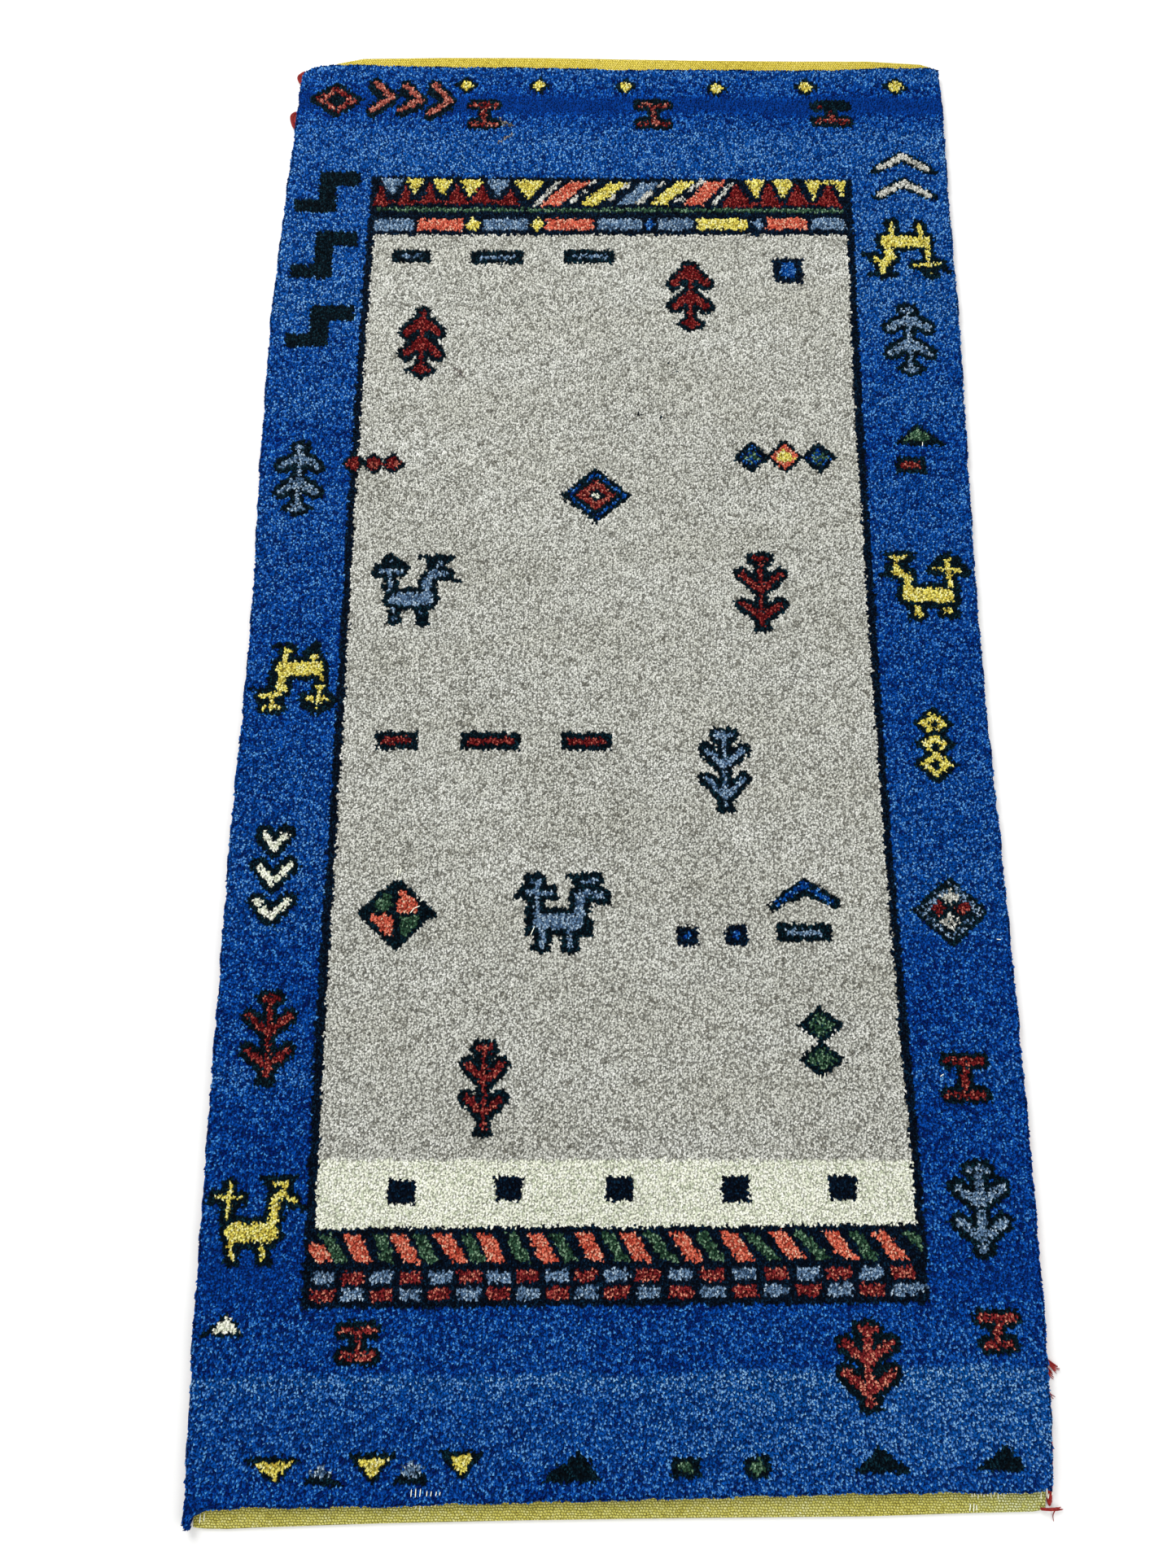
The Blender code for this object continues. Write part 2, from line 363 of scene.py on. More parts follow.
# Trees: yarn, middle x, head and its half width, then for each pair of arms the height where they
# meet and of their tips, their reach, the foot, the arms' and the stem's width, and how far down
# the dark block under the foot goes, or None where a lozenge hangs there
trees = (
    ("red", -73.8, 144.5, 0.2, 141.5, 136.2, 133.5, 127.2, 5.8, 120.3, 2.8, 1.4, None),
    ("red", 27.2, 166, 1, 165.5, 159, 154.5, 148.8, 6, 141.5, 2.8, 1.4, None),
    ("steel", 109.8, 148.5, 1.6, 145, 141, 135, 130, 7.2, 123.5, 2.8, 1.4, None),
    ("steel", -116.4, 88, 1, 84.5, 80.2, 75, 70, 6.2, 63.8, 2.6, 1.4, None),
    ("red", 50.3, 45.6, 2.2, 33.5, 39.7, 23, 28.2, 6.8, 20.2, 2.1, 1.4, 18),
    ("steel", 35.6, -20.2, 2.4, -31.5, -25.6, -42.2, -36, 6.3, -45, 2.0, 1.4, -48),
    ("red", -114.2, -110.4, 2, -121.5, -116, -132.2, -126.8, 6.3, -134.6, 2.1, 1.4, -138.5),
    ("red", -44.4, -126, 1.8, -136.5, -131.2, -146.6, -141.5, 5.4, -151, 2.1, 1.4, -153.5),
    ("steel", 112.7, -163.2, 3, -173.6, -168.6, -184, -179, 6.9, -187, 2.7, 2.9, -189),
    ("red", 74.8, -210, 2.2, -218.8, -214.2, -228, -222.3, 7, -230.8, 2.7, 2.7, -233),
)

# Capital-I figures: middle x, heights of the top and bottom bar, half width of each
beams = (
    (-52.8, 239, 230, 5, 5.4), (14, 240.2, 231.4, 6.2, 6.2), (84.8, 241.2, 233.8, 6.6, 7),
    (110.8, -129.6, -140.2, 6.8, 6.8), (115.4, -206.9, -214.5, 5.9, 4.9), (-81.1, -210.2, -217.4, 5.6, 5.6),
)

# Goats: yarn, width of the dark outline, strokes of the body, and dark strokes laid under it
goats = (
    ("steel", 2.0, (
        (-79.8, 29, -68.5, 29.2, 4.6), (-67.8, 31, -68.8, 35, 2.8), (-68.6, 35.5, -66.2, 39, 3.0),
        (-66, 39, -64.4, 43.4, 1.4), (-66, 38.6, -62, 38.6, 1.6), (-81.6, 33, -81.6, 38, 1.6),
        (-85.4, 39.6, -78, 39.6, 1.6), (-82.4, 43.2, -82, 43.6, 1.2), (-79.8, 25.5, -79.8, 21.5, 0.8),
        (-70.4, 25, -70.2, 24, 1.0),
    ), (
        (-86.3, 39, -82, 45, 2.6), (-82, 45, -76, 40.6, 3.0), (-71.5, 45.1, -59.4, 45.1, 1.8),
        (-67.5, 43, -62, 43.5, 3.2), (-61.5, 38, -57, 36.2, 2.0), (-79.8, 24.4, -79.8, 20.8, 4.2),
        (-82.4, 19.6, -78, 19.8, 1.0), (-70.2, 25, -70.2, 20.8, 4.6), (-71, 19.8, -67.4, 19.4, 1.0),
        (-66.4, 26.6, -65.2, 29.6, 2.8),
    )),
    ("steel", 2.2, (
        (-26.8, -84.9, -15.2, -84.9, 5.0), (-13.8, -83, -14, -77, 2.7), (-13.8, -76.3, -11, -75.6, 2.8),
        (-11, -75.9, -6.4, -76.4, 1.5), (-13.8, -71.6, -8.6, -71, 1.3), (-28.2, -83, -28.2, -72, 1.6),
        (-32, -75.4, -24, -75.3, 1.4), (-30, -71.6, -27.6, -71.3, 1.2), (-26.4, -88, -26.2, -92.6, 1.7),
        (-17.4, -88, -17, -92.6, 1.7),
    ), (
        (-18.4, -69.8, -6.6, -69, 1.8), (-9, -78.2, -3.8, -79.2, 1.6), (-24.6, -77, -21, -77, 1.4),
        (-35.4, -76.6, -32, -76, 2.0), (-11.4, -84, -10.4, -88.6, 2.8), (-30.8, -80, -30.8, -88.4, 2.8),
        (-29.4, -93.6, -23.6, -93.8, 2.0), (-20, -93.8, -14.6, -93.9, 2.0), (-17, -88.6, -12, -88.8, 2.4),
    )),
    ("yellow", 2.2, (
        (103.4, 32.4, 116.8, 32.1, 5.4), (102.8, 35, 103.2, 39, 2.6), (103, 39.5, 98.8, 41.6, 3.2),
        (99.2, 42, 99.4, 46, 1.5), (98.2, 46.6, 103, 46.7, 1.1), (118.4, 35.8, 117.8, 42, 1.9),
        (117.8, 42, 117.9, 46, 1.5), (113, 42.4, 122, 42, 1.1), (106, 25.2, 106, 26.8, 2.4),
        (115.4, 26.4, 117.2, 26.6, 1.8),
    ), (
        (94.6, 48, 106, 48.4, 1.6), (94, 39.8, 97, 40, 2.4), (111.4, 42, 115, 46.4, 2.8),
        (115, 46.6, 121, 46.2, 3.0), (121, 46, 125, 40.8, 2.8), (103.5, 24, 108.4, 24.2, 3.0),
        (115, 24.8, 120, 25, 3.4), (104.4, 28.6, 120, 28.6, 2.4), (120.4, 35, 120.8, 30, 2.4),
    )),
    ("yellow", 2.0, (
        (103.6, 178.8, 118.4, 179, 4.8), (103.6, 177, 105, 172, 2.6), (105, 172, 101.6, 168, 3.2),
        (101.6, 168, 101.5, 165.2, 2.5), (101, 169.2, 98.6, 171.2, 1.4), (119, 177, 119.6, 170.4, 1.5),
        (118.6, 168.6, 119.4, 168.4, 2.6), (114, 168.4, 124, 169.1, 1.1), (120.2, 165.4, 120.3, 164.8, 1.4),
        (105.8, 182, 106, 186.4, 1.9), (117, 182, 116.6, 186, 1.7),
    ), (
        (96.4, 164, 107, 164.2, 2.4), (94, 173, 98, 172.4, 2.2), (112.6, 167.6, 118, 166, 2.4),
        (124, 168.6, 127, 165.6, 2.6), (118, 164, 122, 164, 3.0), (104, 188, 108, 188, 1.6),
    )),
    ("yellow", 2.0, (
        (-117.6, 2.8, -106, 2.8, 4.8), (-117.6, 1, -117.4, -5, 3.2), (-117.6, -6.6, -124, -7.4, 1.6),
        (-120.6, -8, -120.6, -10.6, 1.3), (-123, -11.4, -118.2, -11.4, 1.6), (-104.2, 0, -103.8, -1, 1.4),
        (-104.3, -4, -104.4, -9, 1.8), (-109, -8.3, -101.2, -8.3, 1.2), (-105.6, -11.5, -104.8, -11.2, 1.1),
        (-117, 6, -116.6, 9.6, 1.6), (-116.4, 9.5, -114.8, 9.4, 1.1), (-107, 5.6, -106.8, 7, 1.3),
        (-108, 7.1, -105.6, 7.2, 1.0),
    ), (
        (-108.8, 8.6, -106, 11, 3.8), (-120, 11, -115, 11, 2.6), (-128.6, -5, -123.5, -5.6, 1.4),
        (-121.6, 1, -121.4, -4, 2.4), (-109, -11, -101.5, -11, 3.0), (-102.4, 3, -102.2, -1, 2.4),
    )),
    ("yellow", 1.9, (
        (-120.6, -182, -110, -182, 5.7), (-108.9, -179, -108.6, -173, 2.8),
        (-108.4, -172.4, -106.2, -170.6, 2.8), (-106.2, -170, -106.4, -168.2, 1.7),
        (-109.8, -167.5, -105.2, -167.3, 1.1), (-105.4, -171.4, -102.8, -172.8, 1.4),
        (-123.3, -178, -122.8, -171, 1.7), (-127.2, -171.5, -119.2, -171.8, 1.1),
        (-122.8, -170, -123, -168.2, 1.2), (-121.6, -186, -121, -189.2, 1.3),
        (-112, -186, -111.4, -189.4, 1.5),
    ), (
        (-113.6, -165.9, -103.2, -165.6, 1.5), (-102.6, -174, -98.8, -175, 1.6),
        (-130, -173, -127, -172.4, 1.8), (-123, -190.6, -119.2, -190.8, 2.0),
        (-113, -190.8, -109.2, -190.8, 2.0), (-121, -187, -121, -190, 4.6),
        (-111.6, -187, -111.4, -190, 4.6),
    )),
)


def treeFigure(x, y, row):
    # two pairs of arms meeting on a thin stem, filled near where they meet, under a short bar for
    # the head
    _, midX, head, headHalf, meetA, tipA, meetB, tipB, reach, foot, width, stem, darkFoot = row
    headBar = (midX - headHalf, head, midX + headHalf, head, 2.0)
    parts = [strokes(x, y, (headBar, (midX, head, midX, foot, stem)))]
    share = 0.45 if darkFoot else 0.75
    for meet, tip in ((meetA, tipA), (meetB, tipB)):
        parts.append(chevron(x, y, midX - reach, tip, midX, meet, midX + reach, tip, width))
        filled, low = reach * share, meet - (tip - meet) * 0.2
        parts.append(wedge(x, y, midX - filled, midX + filled, meet + (tip - meet) * share, midX, low))
    if not darkFoot:
        parts.append(lozenge(x, y, midX, foot, 3.5, 2.2))
    return np.minimum.reduce(parts)


def chevron(x, y, x0, y0, x1, y1, x2, y2, width):
    # two strokes that meet
    return strokes(x, y, ((x0, y0, x1, y1, width), (x1, y1, x2, y2, width)))


def chartYarns(x, y):
    # the yarn of each knot at x, y in steps: every figure is laid over the ones before it
    yarn = np.zeros(x.shape, dtype=np.int8)

    def lay(name, field, edge=0.0):
        # the figure, in an outline of ink as wide as its edge
        if edge:
            yarn[field < edge] = yarnNames.index("ink")
        yarn[field < 0] = yarnNames.index(name)

    def laySome(name, field, chosen):
        # only the chosen knots of a figure
        yarn[(field < 0) & chosen] = yarnNames.index(name)

    # frame, field and pale band
    outerLeft, innerLeft, innerRight, outerRight = (
        np.interp(y, frameRows[:, 0], column) for column in frameRows.T[1:])
    topLine = 205.8 + 0.009 * x
    bottomLine = -203.2 + 0.009 * x
    fieldTop = 179.9 + 0.017 * x
    bandEnd = -180.2 + 0.006 * x
    lay("navy", np.maximum.reduce([outerLeft - x, x - outerRight, bottomLine - y, y - topLine]))
    inside = np.maximum(innerLeft - x, x - innerRight)
    lay("field", np.maximum.reduce([inside, bandEnd - y, y - fieldTop]))
    lay("cream", np.maximum.reduce([inside, bandEnd - y, y + 160.4]))
    for midX, midY in ((-69.5, -170), (-36, -169), (-1, -169), (35.5, -169), (69.5, -168.5)):
        lay("navy", block(x, y, midX - 4.3, midX + 4.3, midY - 3.7, midY + 3.7))

    # upper band: triangles and leaning bars
    for x0, x1, top, tipX, tipY, name in (
        (-92.5, -83, 204, -88, 196, "steel"), (-82.3, -75.3, 204, -79, 196.5, "yellow"),
        (-72.3, -64.6, 204, -68, 195.5, "yellow"), (-61.3, -52.7, 204, -57.5, 195.5, "yellow"),
        (-51.3, -42, 204, -47, 196, "steel"), (-40.5, -28.3, 204, -35, 195, "yellow"),
        (49.5, 57.3, 206, 54, 196.5, "yellow"), (60, 69, 206, 64.5, 196.5, "yellow"),
        (72.8, 79.3, 206, 76.5, 197, "yellow"), (84.8, 89, 206, 87.5, 197, "yellow"),
    ):
        lay(name, wedge(x, y, x0, x1, top, tipX, tipY))
    lay("yellow", strokes(x, y, ((74, 205, 88.5, 205.3, 1.8),)))
    for tipX, tipY, x0, x1, low in (
        (-92, 202, -95, -89, 191.5), (-82.5, 201.5, -85.5, -79.7, 192), (-73.3, 202.7, -76.3, -69.7, 193),
        (-62.8, 202, -67, -58, 192.8), (-53, 202.8, -57, -48.7, 193), (-42.3, 200.7, -45.5, -38.2, 192.7),
        (46.3, 204.2, 39.7, 52.3, 193.3), (58.7, 205, 54.7, 63, 194), (69.8, 204, 64.7, 74.3, 194.5),
        (82, 204, 76.7, 87, 194.2),
    ):
        lay("red", wedge(x, y, x0, x1, low, tipX, tipY))
    lay("red", strokes(x, y, ((-93, 193.2, -41, 194.2, 1.2), (42, 194.6, 85, 195.3, 1.2))))
    for lowX, lowY, highX, highY, width, name in (
        (-32.5, 192.5, -23, 204, 2.2, "field"), (-26.6, 193, -14.6, 203.8, 7.6, "coral"),
        (-12, 193.4, 0.4, 203.6, 7.2, "yellow"), (3, 193.8, 12.4, 203.9, 7.0, "steel"),
        (15, 194, 26.4, 204.6, 6.6, "yellow"), (28.8, 194, 38.6, 205, 7.8, "coral"),
        (36.5, 194, 45, 204.7, 2.0, "field"),
    ):
        lay(name, slant(x, y, lowX, lowY, highX, highY, width))
    lay("field", strokes(x, y, (
        (-18, 195, -16.5, 196.5, 1.5), (-13.5, 198, -12.5, 200, 1.4), (-10.5, 202.5, -9.5, 204, 1.4),
        (-3, 196, -1.5, 197.5, 1.4), (2, 201.5, 4, 203, 1.6), (8, 194.8, 13.5, 200, 1.7),
        (16, 202.5, 18, 204, 1.6), (22, 195.8, 26, 196.4, 1.5), (27.5, 200.2, 33, 204.8, 1.6),
    )))
    lay("green", strokes(x, y, (
        (-93, 190, -40, 190.5, 1.5), (-40, 190.5, 10, 191.4, 1.5), (10, 191.4, 60, 192, 1.5),
        (60, 192, 87, 192.2, 1.5),
    )))

    # row of dashes under it, rising to the right
    for x0, x1, name in (
        (-94, -78.7, "steel"), (-77.6, -59.8, "coral"), (-52.3, -35.2, "steel"), (-28, -9.6, "coral"),
        (-8, 9, "steel"), (15.3, 28.7, "steel"), (30.6, 50, "yellow"), (57.2, 73, "coral"),
        (75, 88, "steel"),
    ):
        rise = 183 + 0.0195 * (x + 90)
        lay(name, np.maximum.reduce([x0 - x, x - x1, np.abs(y - rise) - 2.5]))
    for midX, midY, half, name in (
        (-56.2, 183.7, 2.7, "yellow"), (-31.2, 184, 2.6, "yellow"), (12, 185, 2.2, "blue"),
        (54, 186, 2.4, "steel"),
    ):
        lay(name, lozenge(x, y, midX, midY, half + 0.2, half + 0.4))

    # lower band: leaning bars over two rows of a checker
    for name, thick, spans in (
        ("coral", 5.4, (
            (-87, -77.5), (-73, -62.5), (-59.5, -47.5), (-46, -36), (-30.3, -20), (-15.5, -5), (-1.5, 9),
            (14, 25), (30, 41), (45.3, 57.5), (62, 73.5), (77, 89.5),
        )),
        ("green", 4.2, (
            (-94.5, -84.5), (-78, -70.7), (-65.7, -57.3), (-51.2, -42.5), (-37.2, -28.3), (-23.2, -13.8),
            (-7.2, 2.2), (6, 17), (22, 32), (37, 49), (53, 65), (70, 80),
        )),
    ):
        for x0, x1 in spans:
            tilt = 0.006 * (x0 + 95)
            lay(name, slant(x, y, x1 - thick / 2, -190.9 + tilt, x0 + thick / 2, -182.6 + tilt, thick))
    lay("coral", slant(x, y, -92.5, -190.9, -95.5, -185, 5))
    rowTilt = 0.009 * x
    for midY, first in ((-194.4, 0), (-199.3, 1)):
        place = np.interp(x, (-96.5, -6.5, 92.5), (0, 10, 20))
        number = np.floor(place).astype(int)
        near = np.maximum(np.abs((place - number) * 9.4 - 4.2) - 3.55, np.abs(y - rowTilt - midY) - 1.65)
        near = np.maximum(near, np.maximum(-96.6 - x, x - 91.6))
        laySome("red", near, (number + first) % 2 == 1)
        laySome("steel", near, (number + first) % 2 == 0)
    lay("steel", strokes(x, y, ((88, -198.3, 93.8, -197.6, 2.0),)))
    lay("green", np.maximum(slant(x, y, 95.5, -187.2, 89.5, -182, 5), x - 93.4))

    # bars, squares and lozenges of the field; speck picks out odd knots
    speck = np.sin(x * 12.9 + y * 78.2) * 437.58 % 1
    for x0, x1, y0, y1 in (
        (-86.4, -71.8, 166.3, 172), (-56.2, -36.7, 166.2, 172.2), (-21, -1.4, 167.2, 173.2),
    ):
        lay("ink", block(x, y, x0, x1, y0, y1))
        laySome("steel", block(x, y, x0 + 3, x1 - 3, (y0 + y1) / 2 - 0.8, (y0 + y1) / 2 + 0.8), speck > 0.15)
    lay("navy", block(x, y, 59.3, 70.8, 159.7, 170.6))
    lay("blue", block(x, y, 62.3, 67.6, 162.3, 168.6))
    for x0, x1 in ((-84.7, -69.3), (-55.5, -34), (-21, -2.9)):
        lay("red", block(x, y, x0 + 2.6, x1 - 2.6, -24.1, -21.9), 2.1)
    for midX in (-96.8, -89.5, -82.6):
        lay("red", lozenge(x, y, midX, 81.8, 3.1, 3.1), 1.6)
    laySome("rose", lozenge(x, y, -89.2, 81.3, 2.0, 1.8), speck < 0.6)
    laySome("rose", lozenge(x, y, -81.6, 82, 2.6, 1.8), speck < 0.6)
    for midX in (48.5, 73.2):
        lay("ink", lozenge(x, y, midX, 86, 7.0, 6.7))
        lay("navy", lozenge(x, y, midX, 86, 5.2, 5.0))
        laySome("blue", lozenge(x, y, midX, 86, 4.8, 4.6), speck < 0.3)
        laySome("green", lozenge(x, y, midX, 86, 3.2, 3.0), speck > 0.25)
    lay("ink", lozenge(x, y, 60.6, 86.3, 7.2, 6.9))
    lay("coral", lozenge(x, y, 60.6, 86.3, 5.5, 5.1))
    laySome("yellow", lozenge(x, y, 60.6, 86.3, 4, 3.4), speck < 0.6)
    lay("yellow", lozenge(x, y, 60.6, 86.3, 2.4, 2.2))
    for half, name in (
        (1.0, "ink"), (0.84, "blue"), (0.7, "ink"), (0.53, "red"), (0.25, "ink"), (0.1, "cream"),
    ):
        lay(name, lozenge(x, y, -8.6, 70, 13.2 * half, 11.2 * half))
        if name == "blue":
            laySome("ink", lozenge(x, y, -8.6, 70, 13.2, 11.2), speck < 0.3)
        if name == "red":
            laySome("rose", lozenge(x, y, -8.6, 70, 7, 6), speck > 0.6)
    lay("ink", lozenge(x, y, -74.6, -82.6, 13.4, 12.4))
    for x0, x1, y0, y1, name in (
        (-82.2, -76.3, -81.6, -75.8, "green"), (-74.2, -67.8, -82.2, -75, "coral"),
        (-83, -75.4, -90, -83, "coral"), (-73.2, -67.2, -89.8, -83.4, "green"),
    ):
        inner = lozenge(x, y, -74.6, -82.6, 11.2, 10.2)
        lay(name, np.maximum(block(x, y, x0, x1, y0, y1), inner))
    for x0, x1, y0, y1 in ((18.2, 25.4, -92.9, -86.6), (34.3, 41.5, -92.5, -85.8)):
        lay("navy", block(x, y, x0, x1, y0, y1))
        lay("blue", block(x, y, x0 + 2.4, x1 - 2.4, y0 + 2.2, y1 - 2.2))
    lay("ink", chevron(x, y, 56.5, -75.8, 61.3, -73, 66.5, -75.8, 5.2))
    lay("ink", chevron(x, y, 50.8, -79.6, 61.3, -71.8, 71.6, -78.8, 3.6))
    laySome("blue", chevron(x, y, 52, -78.6, 61.3, -72, 70, -77.8, 2.0), speck < 0.75)
    lay("ink", block(x, y, 51.4, 69.8, -91.3, -85.2))
    lay("steel", block(x, y, 54.3, 66.5, -89.1, -87.3))
    for midY in (-118.3, -129.2):
        lay("ink", lozenge(x, y, 64.6, midY, 7.8, 6))
        laySome("green", lozenge(x, y, 64.6, midY, 5.4, 3.8), speck > 0.22)

    # trees, beams and goats
    for row in trees:
        if row[-1]:
            half = 1.4 * row[10] + 0.2
            lay("ink", block(x, y, row[1] - half, row[1] + half, row[-1], row[9] + 1.5))
        inTree = treeFigure(x, y, row)
        lay(row[0], inTree, 1.9)
        if abs(row[1]) > 100 and row[0] == "steel":
            laySome("ink", inTree, speck < 0.1)
    for midX, top, low, halfTop, halfLow in beams:
        bars = (
            (midX - halfTop + 1, top, midX + halfTop - 1, top, 2.3),
            (midX - halfLow + 1, low, midX + halfLow - 1, low, 2.3), (midX, top, midX, low, 2.2),
        )
        lay("red", strokes(x, y, bars), 1.6)
        if top > 200:
            laySome("rose", strokes(x, y, bars), speck > 0.75)
        laySome("ink", strokes(x, y, bars), speck < (0.35 if top > 200 else 0.12))
    lay("ink", block(x, y, 77.5, 92.5, 239.2, 243.4))
    lay("red", strokes(x, y, ((80, 240.4, 81, 240.3, 1.2),)))
    for name, outlineWidth, body, shadow in goats:
        lay("ink", strokes(x, y, shadow))
        lay(name, strokes(x, y, body), outlineWidth)

    # far border
    lay("ink", lozenge(x, y, -111.5, 240.3, 11.3, 8.8))
    lay("red", lozenge(x, y, -111.5, 240.3, 8.6, 6))
    laySome("rose", lozenge(x, y, -111.5, 240.3, 8.4, 5.8), speck > 0.5)
    lay("ink", lozenge(x, y, -111.2, 240.2, 4.8, 3.2))
    laySome("ink", lozenge(x, y, -111.5, 240.3, 8.6, 6), speck < 0.12)
    for x0, y0, x1, y1, x2, y2 in (
        (-96, 248.5, -89.5, 242, -97, 236), (-84, 247.5, -78, 241, -85.5, 236.5),
        (-73, 248, -66.5, 240.5, -74, 235),
    ):
        lay("ink", chevron(x, y, x0 - 1.2, y0 - 2.2, x1 - 0.4, y1 - 2.4, x2 - 0.6, y2 - 2.2, 4.4))
        lay("rose", chevron(x, y, x0, y0, x1, y1, x2, y2, 2.3), 1.5)
    lay("mend", strokes(x, y, (
        (-46.4, 233, -44.8, 229.6, 1.0), (-44, 230.4, -42, 229.6, 0.9), (-47, 221.8, -41.6, 225.4, 1.0),
        (-60.6, 120.8, -58.6, 118.4, 1.6),
    )))
    lay("ink", strokes(x, y, (
        (18, 125.2, 19, 124, 0.5), (20.4, 121.8, 22, 120.4, 0.7), (6, 103.4, 8, 102.6, 0.5),
        (14.4, 102.4, 16, 101.4, 0.6),
    )))
    for midX, midY, halfX in (
        (-60.2, 248.2, 3.2), (-31.5, 248.5, 2.8), (3, 249, 3), (39.3, 248.6, 2.8), (75.2, 250, 3.4),
        (111.5, 251, 3.6),
    ):
        lay("yellow", lozenge(x, y, midX, midY, halfX, 2.7), 1.7)

    # left border
    for top, low in ((203.5, 191), (176.5, 162), (144, 132.3)):
        lay("ink", block(x, y, -116.2, -100, top - 3.3, top + 3.3))
        lay("ink", block(x, y, -116.2, -109, low - 2.5, top + 3.3))
        lay("ink", block(x, y, -125.2, -109, low - 2.8, low + 2.8))
    for x0, y0, tipX, tipY, x1, y1 in (
        (-120, -56, -116.5, -60.8, -112.6, -56), (-120.8, -66.9, -116.4, -72.5, -110.7, -66.6),
        (-120.8, -78.8, -116, -84, -110.5, -78.4),
    ):
        vee = chevron(x, y, x0, y0, tipX, tipY, x1, y1, 2.3)
        lay("cream", vee, 2.1)
        laySome("ink", vee, speck < 0.1)
    lay("ink", wedge(x, y, -129.3, -114.3, -212, -121.5, -205))
    lay("cream", wedge(x, y, -126, -116.8, -210.8, -121.3, -205.6))

    # right border
    lay("ink", strokes(x, y, (
        (100, 210.8, 105, 212.2, 2.4), (119.5, 211.8, 125, 210.4, 2.4), (100, 198.4, 105, 200, 2.4),
        (119, 200, 124.5, 198.6, 2.4),
    )))
    for x0, y0, tipX, tipY, x1, y1 in (
        (102.8, 212.3, 112, 217.8, 121.6, 212.2), (102.4, 199.9, 111.7, 205.6, 121.2, 200.3),
    ):
        lay("field", chevron(x, y, x0, y0, tipX, tipY, x1, y1, 2.5), 1.1)
    lay("ink", wedge(x, y, 100.6, 121, 91.4, 110.6, 100.6))
    lay("green", wedge(x, y, 105, 116.4, 93.4, 110.4, 99))
    lay("red", block(x, y, 103.6, 110.4, 82.2, 84.6), 2.2)
    laySome("rose", block(x, y, 104.4, 109.8, 82.6, 84.2), speck < 0.4)
    for midX, midY, halfX, halfY in (
        (108.7, -15.5, 4.9, 4.1), (108.7, -23, 4.9, 3.8), (108.7, -30.3, 5.7, 4.7),
    ):
        lay("yellow", lozenge(x, y, midX, midY, halfX, halfY), 2.2)
    for midX, midY, halfX, halfY in (
        (108.7, -15.5, 1.9, 1.4), (108.7, -23, 1.9, 1.2), (108.7, -30.3, 2.4, 1.6),
    ):
        lay("ink", lozenge(x, y, midX, midY, halfX, halfY))
    lay("ink", lozenge(x, y, 110, -81, 13.2, 12))
    ring = np.maximum(lozenge(x, y, 110, -81, 11.4, 10.3), -lozenge(x, y, 110, -81, 7.6, 7))
    laySome("steel", ring, speck < 0.5)
    for midX, midY, halfX, halfY, name in (
        (110.2, -76, 3.7, 2.6, "field"), (109.8, -84.3, 3.6, 2.8, "field"), (106, -79.8, 2.8, 2.6, "red"),
        (114.2, -79.8, 3.4, 2.5, "red"),
    ):
        laySome(name, lozenge(x, y, midX, midY, halfX, halfY), speck > 0.12)

    # near border
    for x0, x1, top, tipX, tipY, name in (
        (-110.2, -98.6, -246.4, -103.8, -251.2, "yellow"), (-80, -70.2, -245.4, -75, -250.8, "yellow"),
        (-52.8, -44.2, -244.8, -48.5, -249.9, "yellow"),
    ):
        lay(name, wedge(x, y, x0, x1, top, tipX, tipY), 1.4)
    for x0, x1, low, tipX, tipY in (
        (-96.3, -83, -252.8, -90.3, -247), (-69.8, -57.6, -252.3, -63.3, -246),
        (-25.3, -6, -252, -13, -243.5), (68.5, 86.5, -249.6, 76.7, -242.6),
        (104.5, 121, -249.4, 115.5, -242),
    ):
        lay("ink", wedge(x, y, x0, x1, low, tipX, tipY))
    lay("ink", block(x, y, -20.6, -8.6, -251.6, -247.8))
    lay("ink", block(x, y, 110.8, 119.6, -249.2, -245.2))
    lay("steel", lozenge(x, y, -90.3, -249.4, 3.8, 1.9))
    lay("steel", lozenge(x, y, -63.2, -248.5, 4.4, 2.1))
    for x0, x1 in ((14.2, 22.8), (36, 44)):
        lay("ink", block(x, y, x0, x1, -250.8, -245.2))
        lay("green", lozenge(x, y, (x0 + x1) / 2, -248, 2.8, 2.2))
    return yarn


# Lightness of the blue dye lots along the rug: y in steps, and from 0 dark to 1 light, where less
# than 0 is dark and even
lotRows = np.array((
    (-263, 0.20), (-255, 0.30), (-250, 0.50), (-243, 0.75), (-235, 0.72), (-229, 0.90), (-222.5, 1.35),
    (-221, 0.12), (-215, 0.30), (-206, 0.15), (-200, -0.08), (-190, -0.06), (-182, 0.15), (-174, 0.26),
    (-166, 0.02), (-158, 0.06), (-150, 0.00), (-142, 0.08), (-134, 0.55), (-127, 0.10), (-118, 0.08),
    (-94, 0.08), (-86, 0.40), (-74, 0.60), (-46, 0.55), (-30, 0.45), (-20, 0.30), (18, 0.25), (28, 0.35),
    (40, 0.50), (75, 0.50), (84, 0.28), (92, 0.14), (100, 0.40), (108, 0.70), (118, 0.40), (130, 0.40),
    (138, 0.60), (146, 0.90), (190, 0.80), (203, 0.55), (212, 0.85), (226, 0.78), (230, 0.42),
    (234.5, 0.10), (238, -0.38), (242, -0.46), (245.5, 0.00), (249, 0.32), (256, 0.65), (262, 0.70),
))


def waves(x, y, seed, longest):
    # slow unevenness: a sum of 7 sine waves in turned directions, from -1 to 1
    random = np.random.default_rng(seed)
    total = np.zeros(x.shape)
    for n in range(7):
        angle, phase = random.uniform(0, 2 * math.pi, 2)
        length = longest * 0.72 ** n
        total += 0.8 ** n * np.sin((x * math.cos(angle) + y * math.sin(angle)) * 2 * math.pi / length + phase)
    return total / 2.6


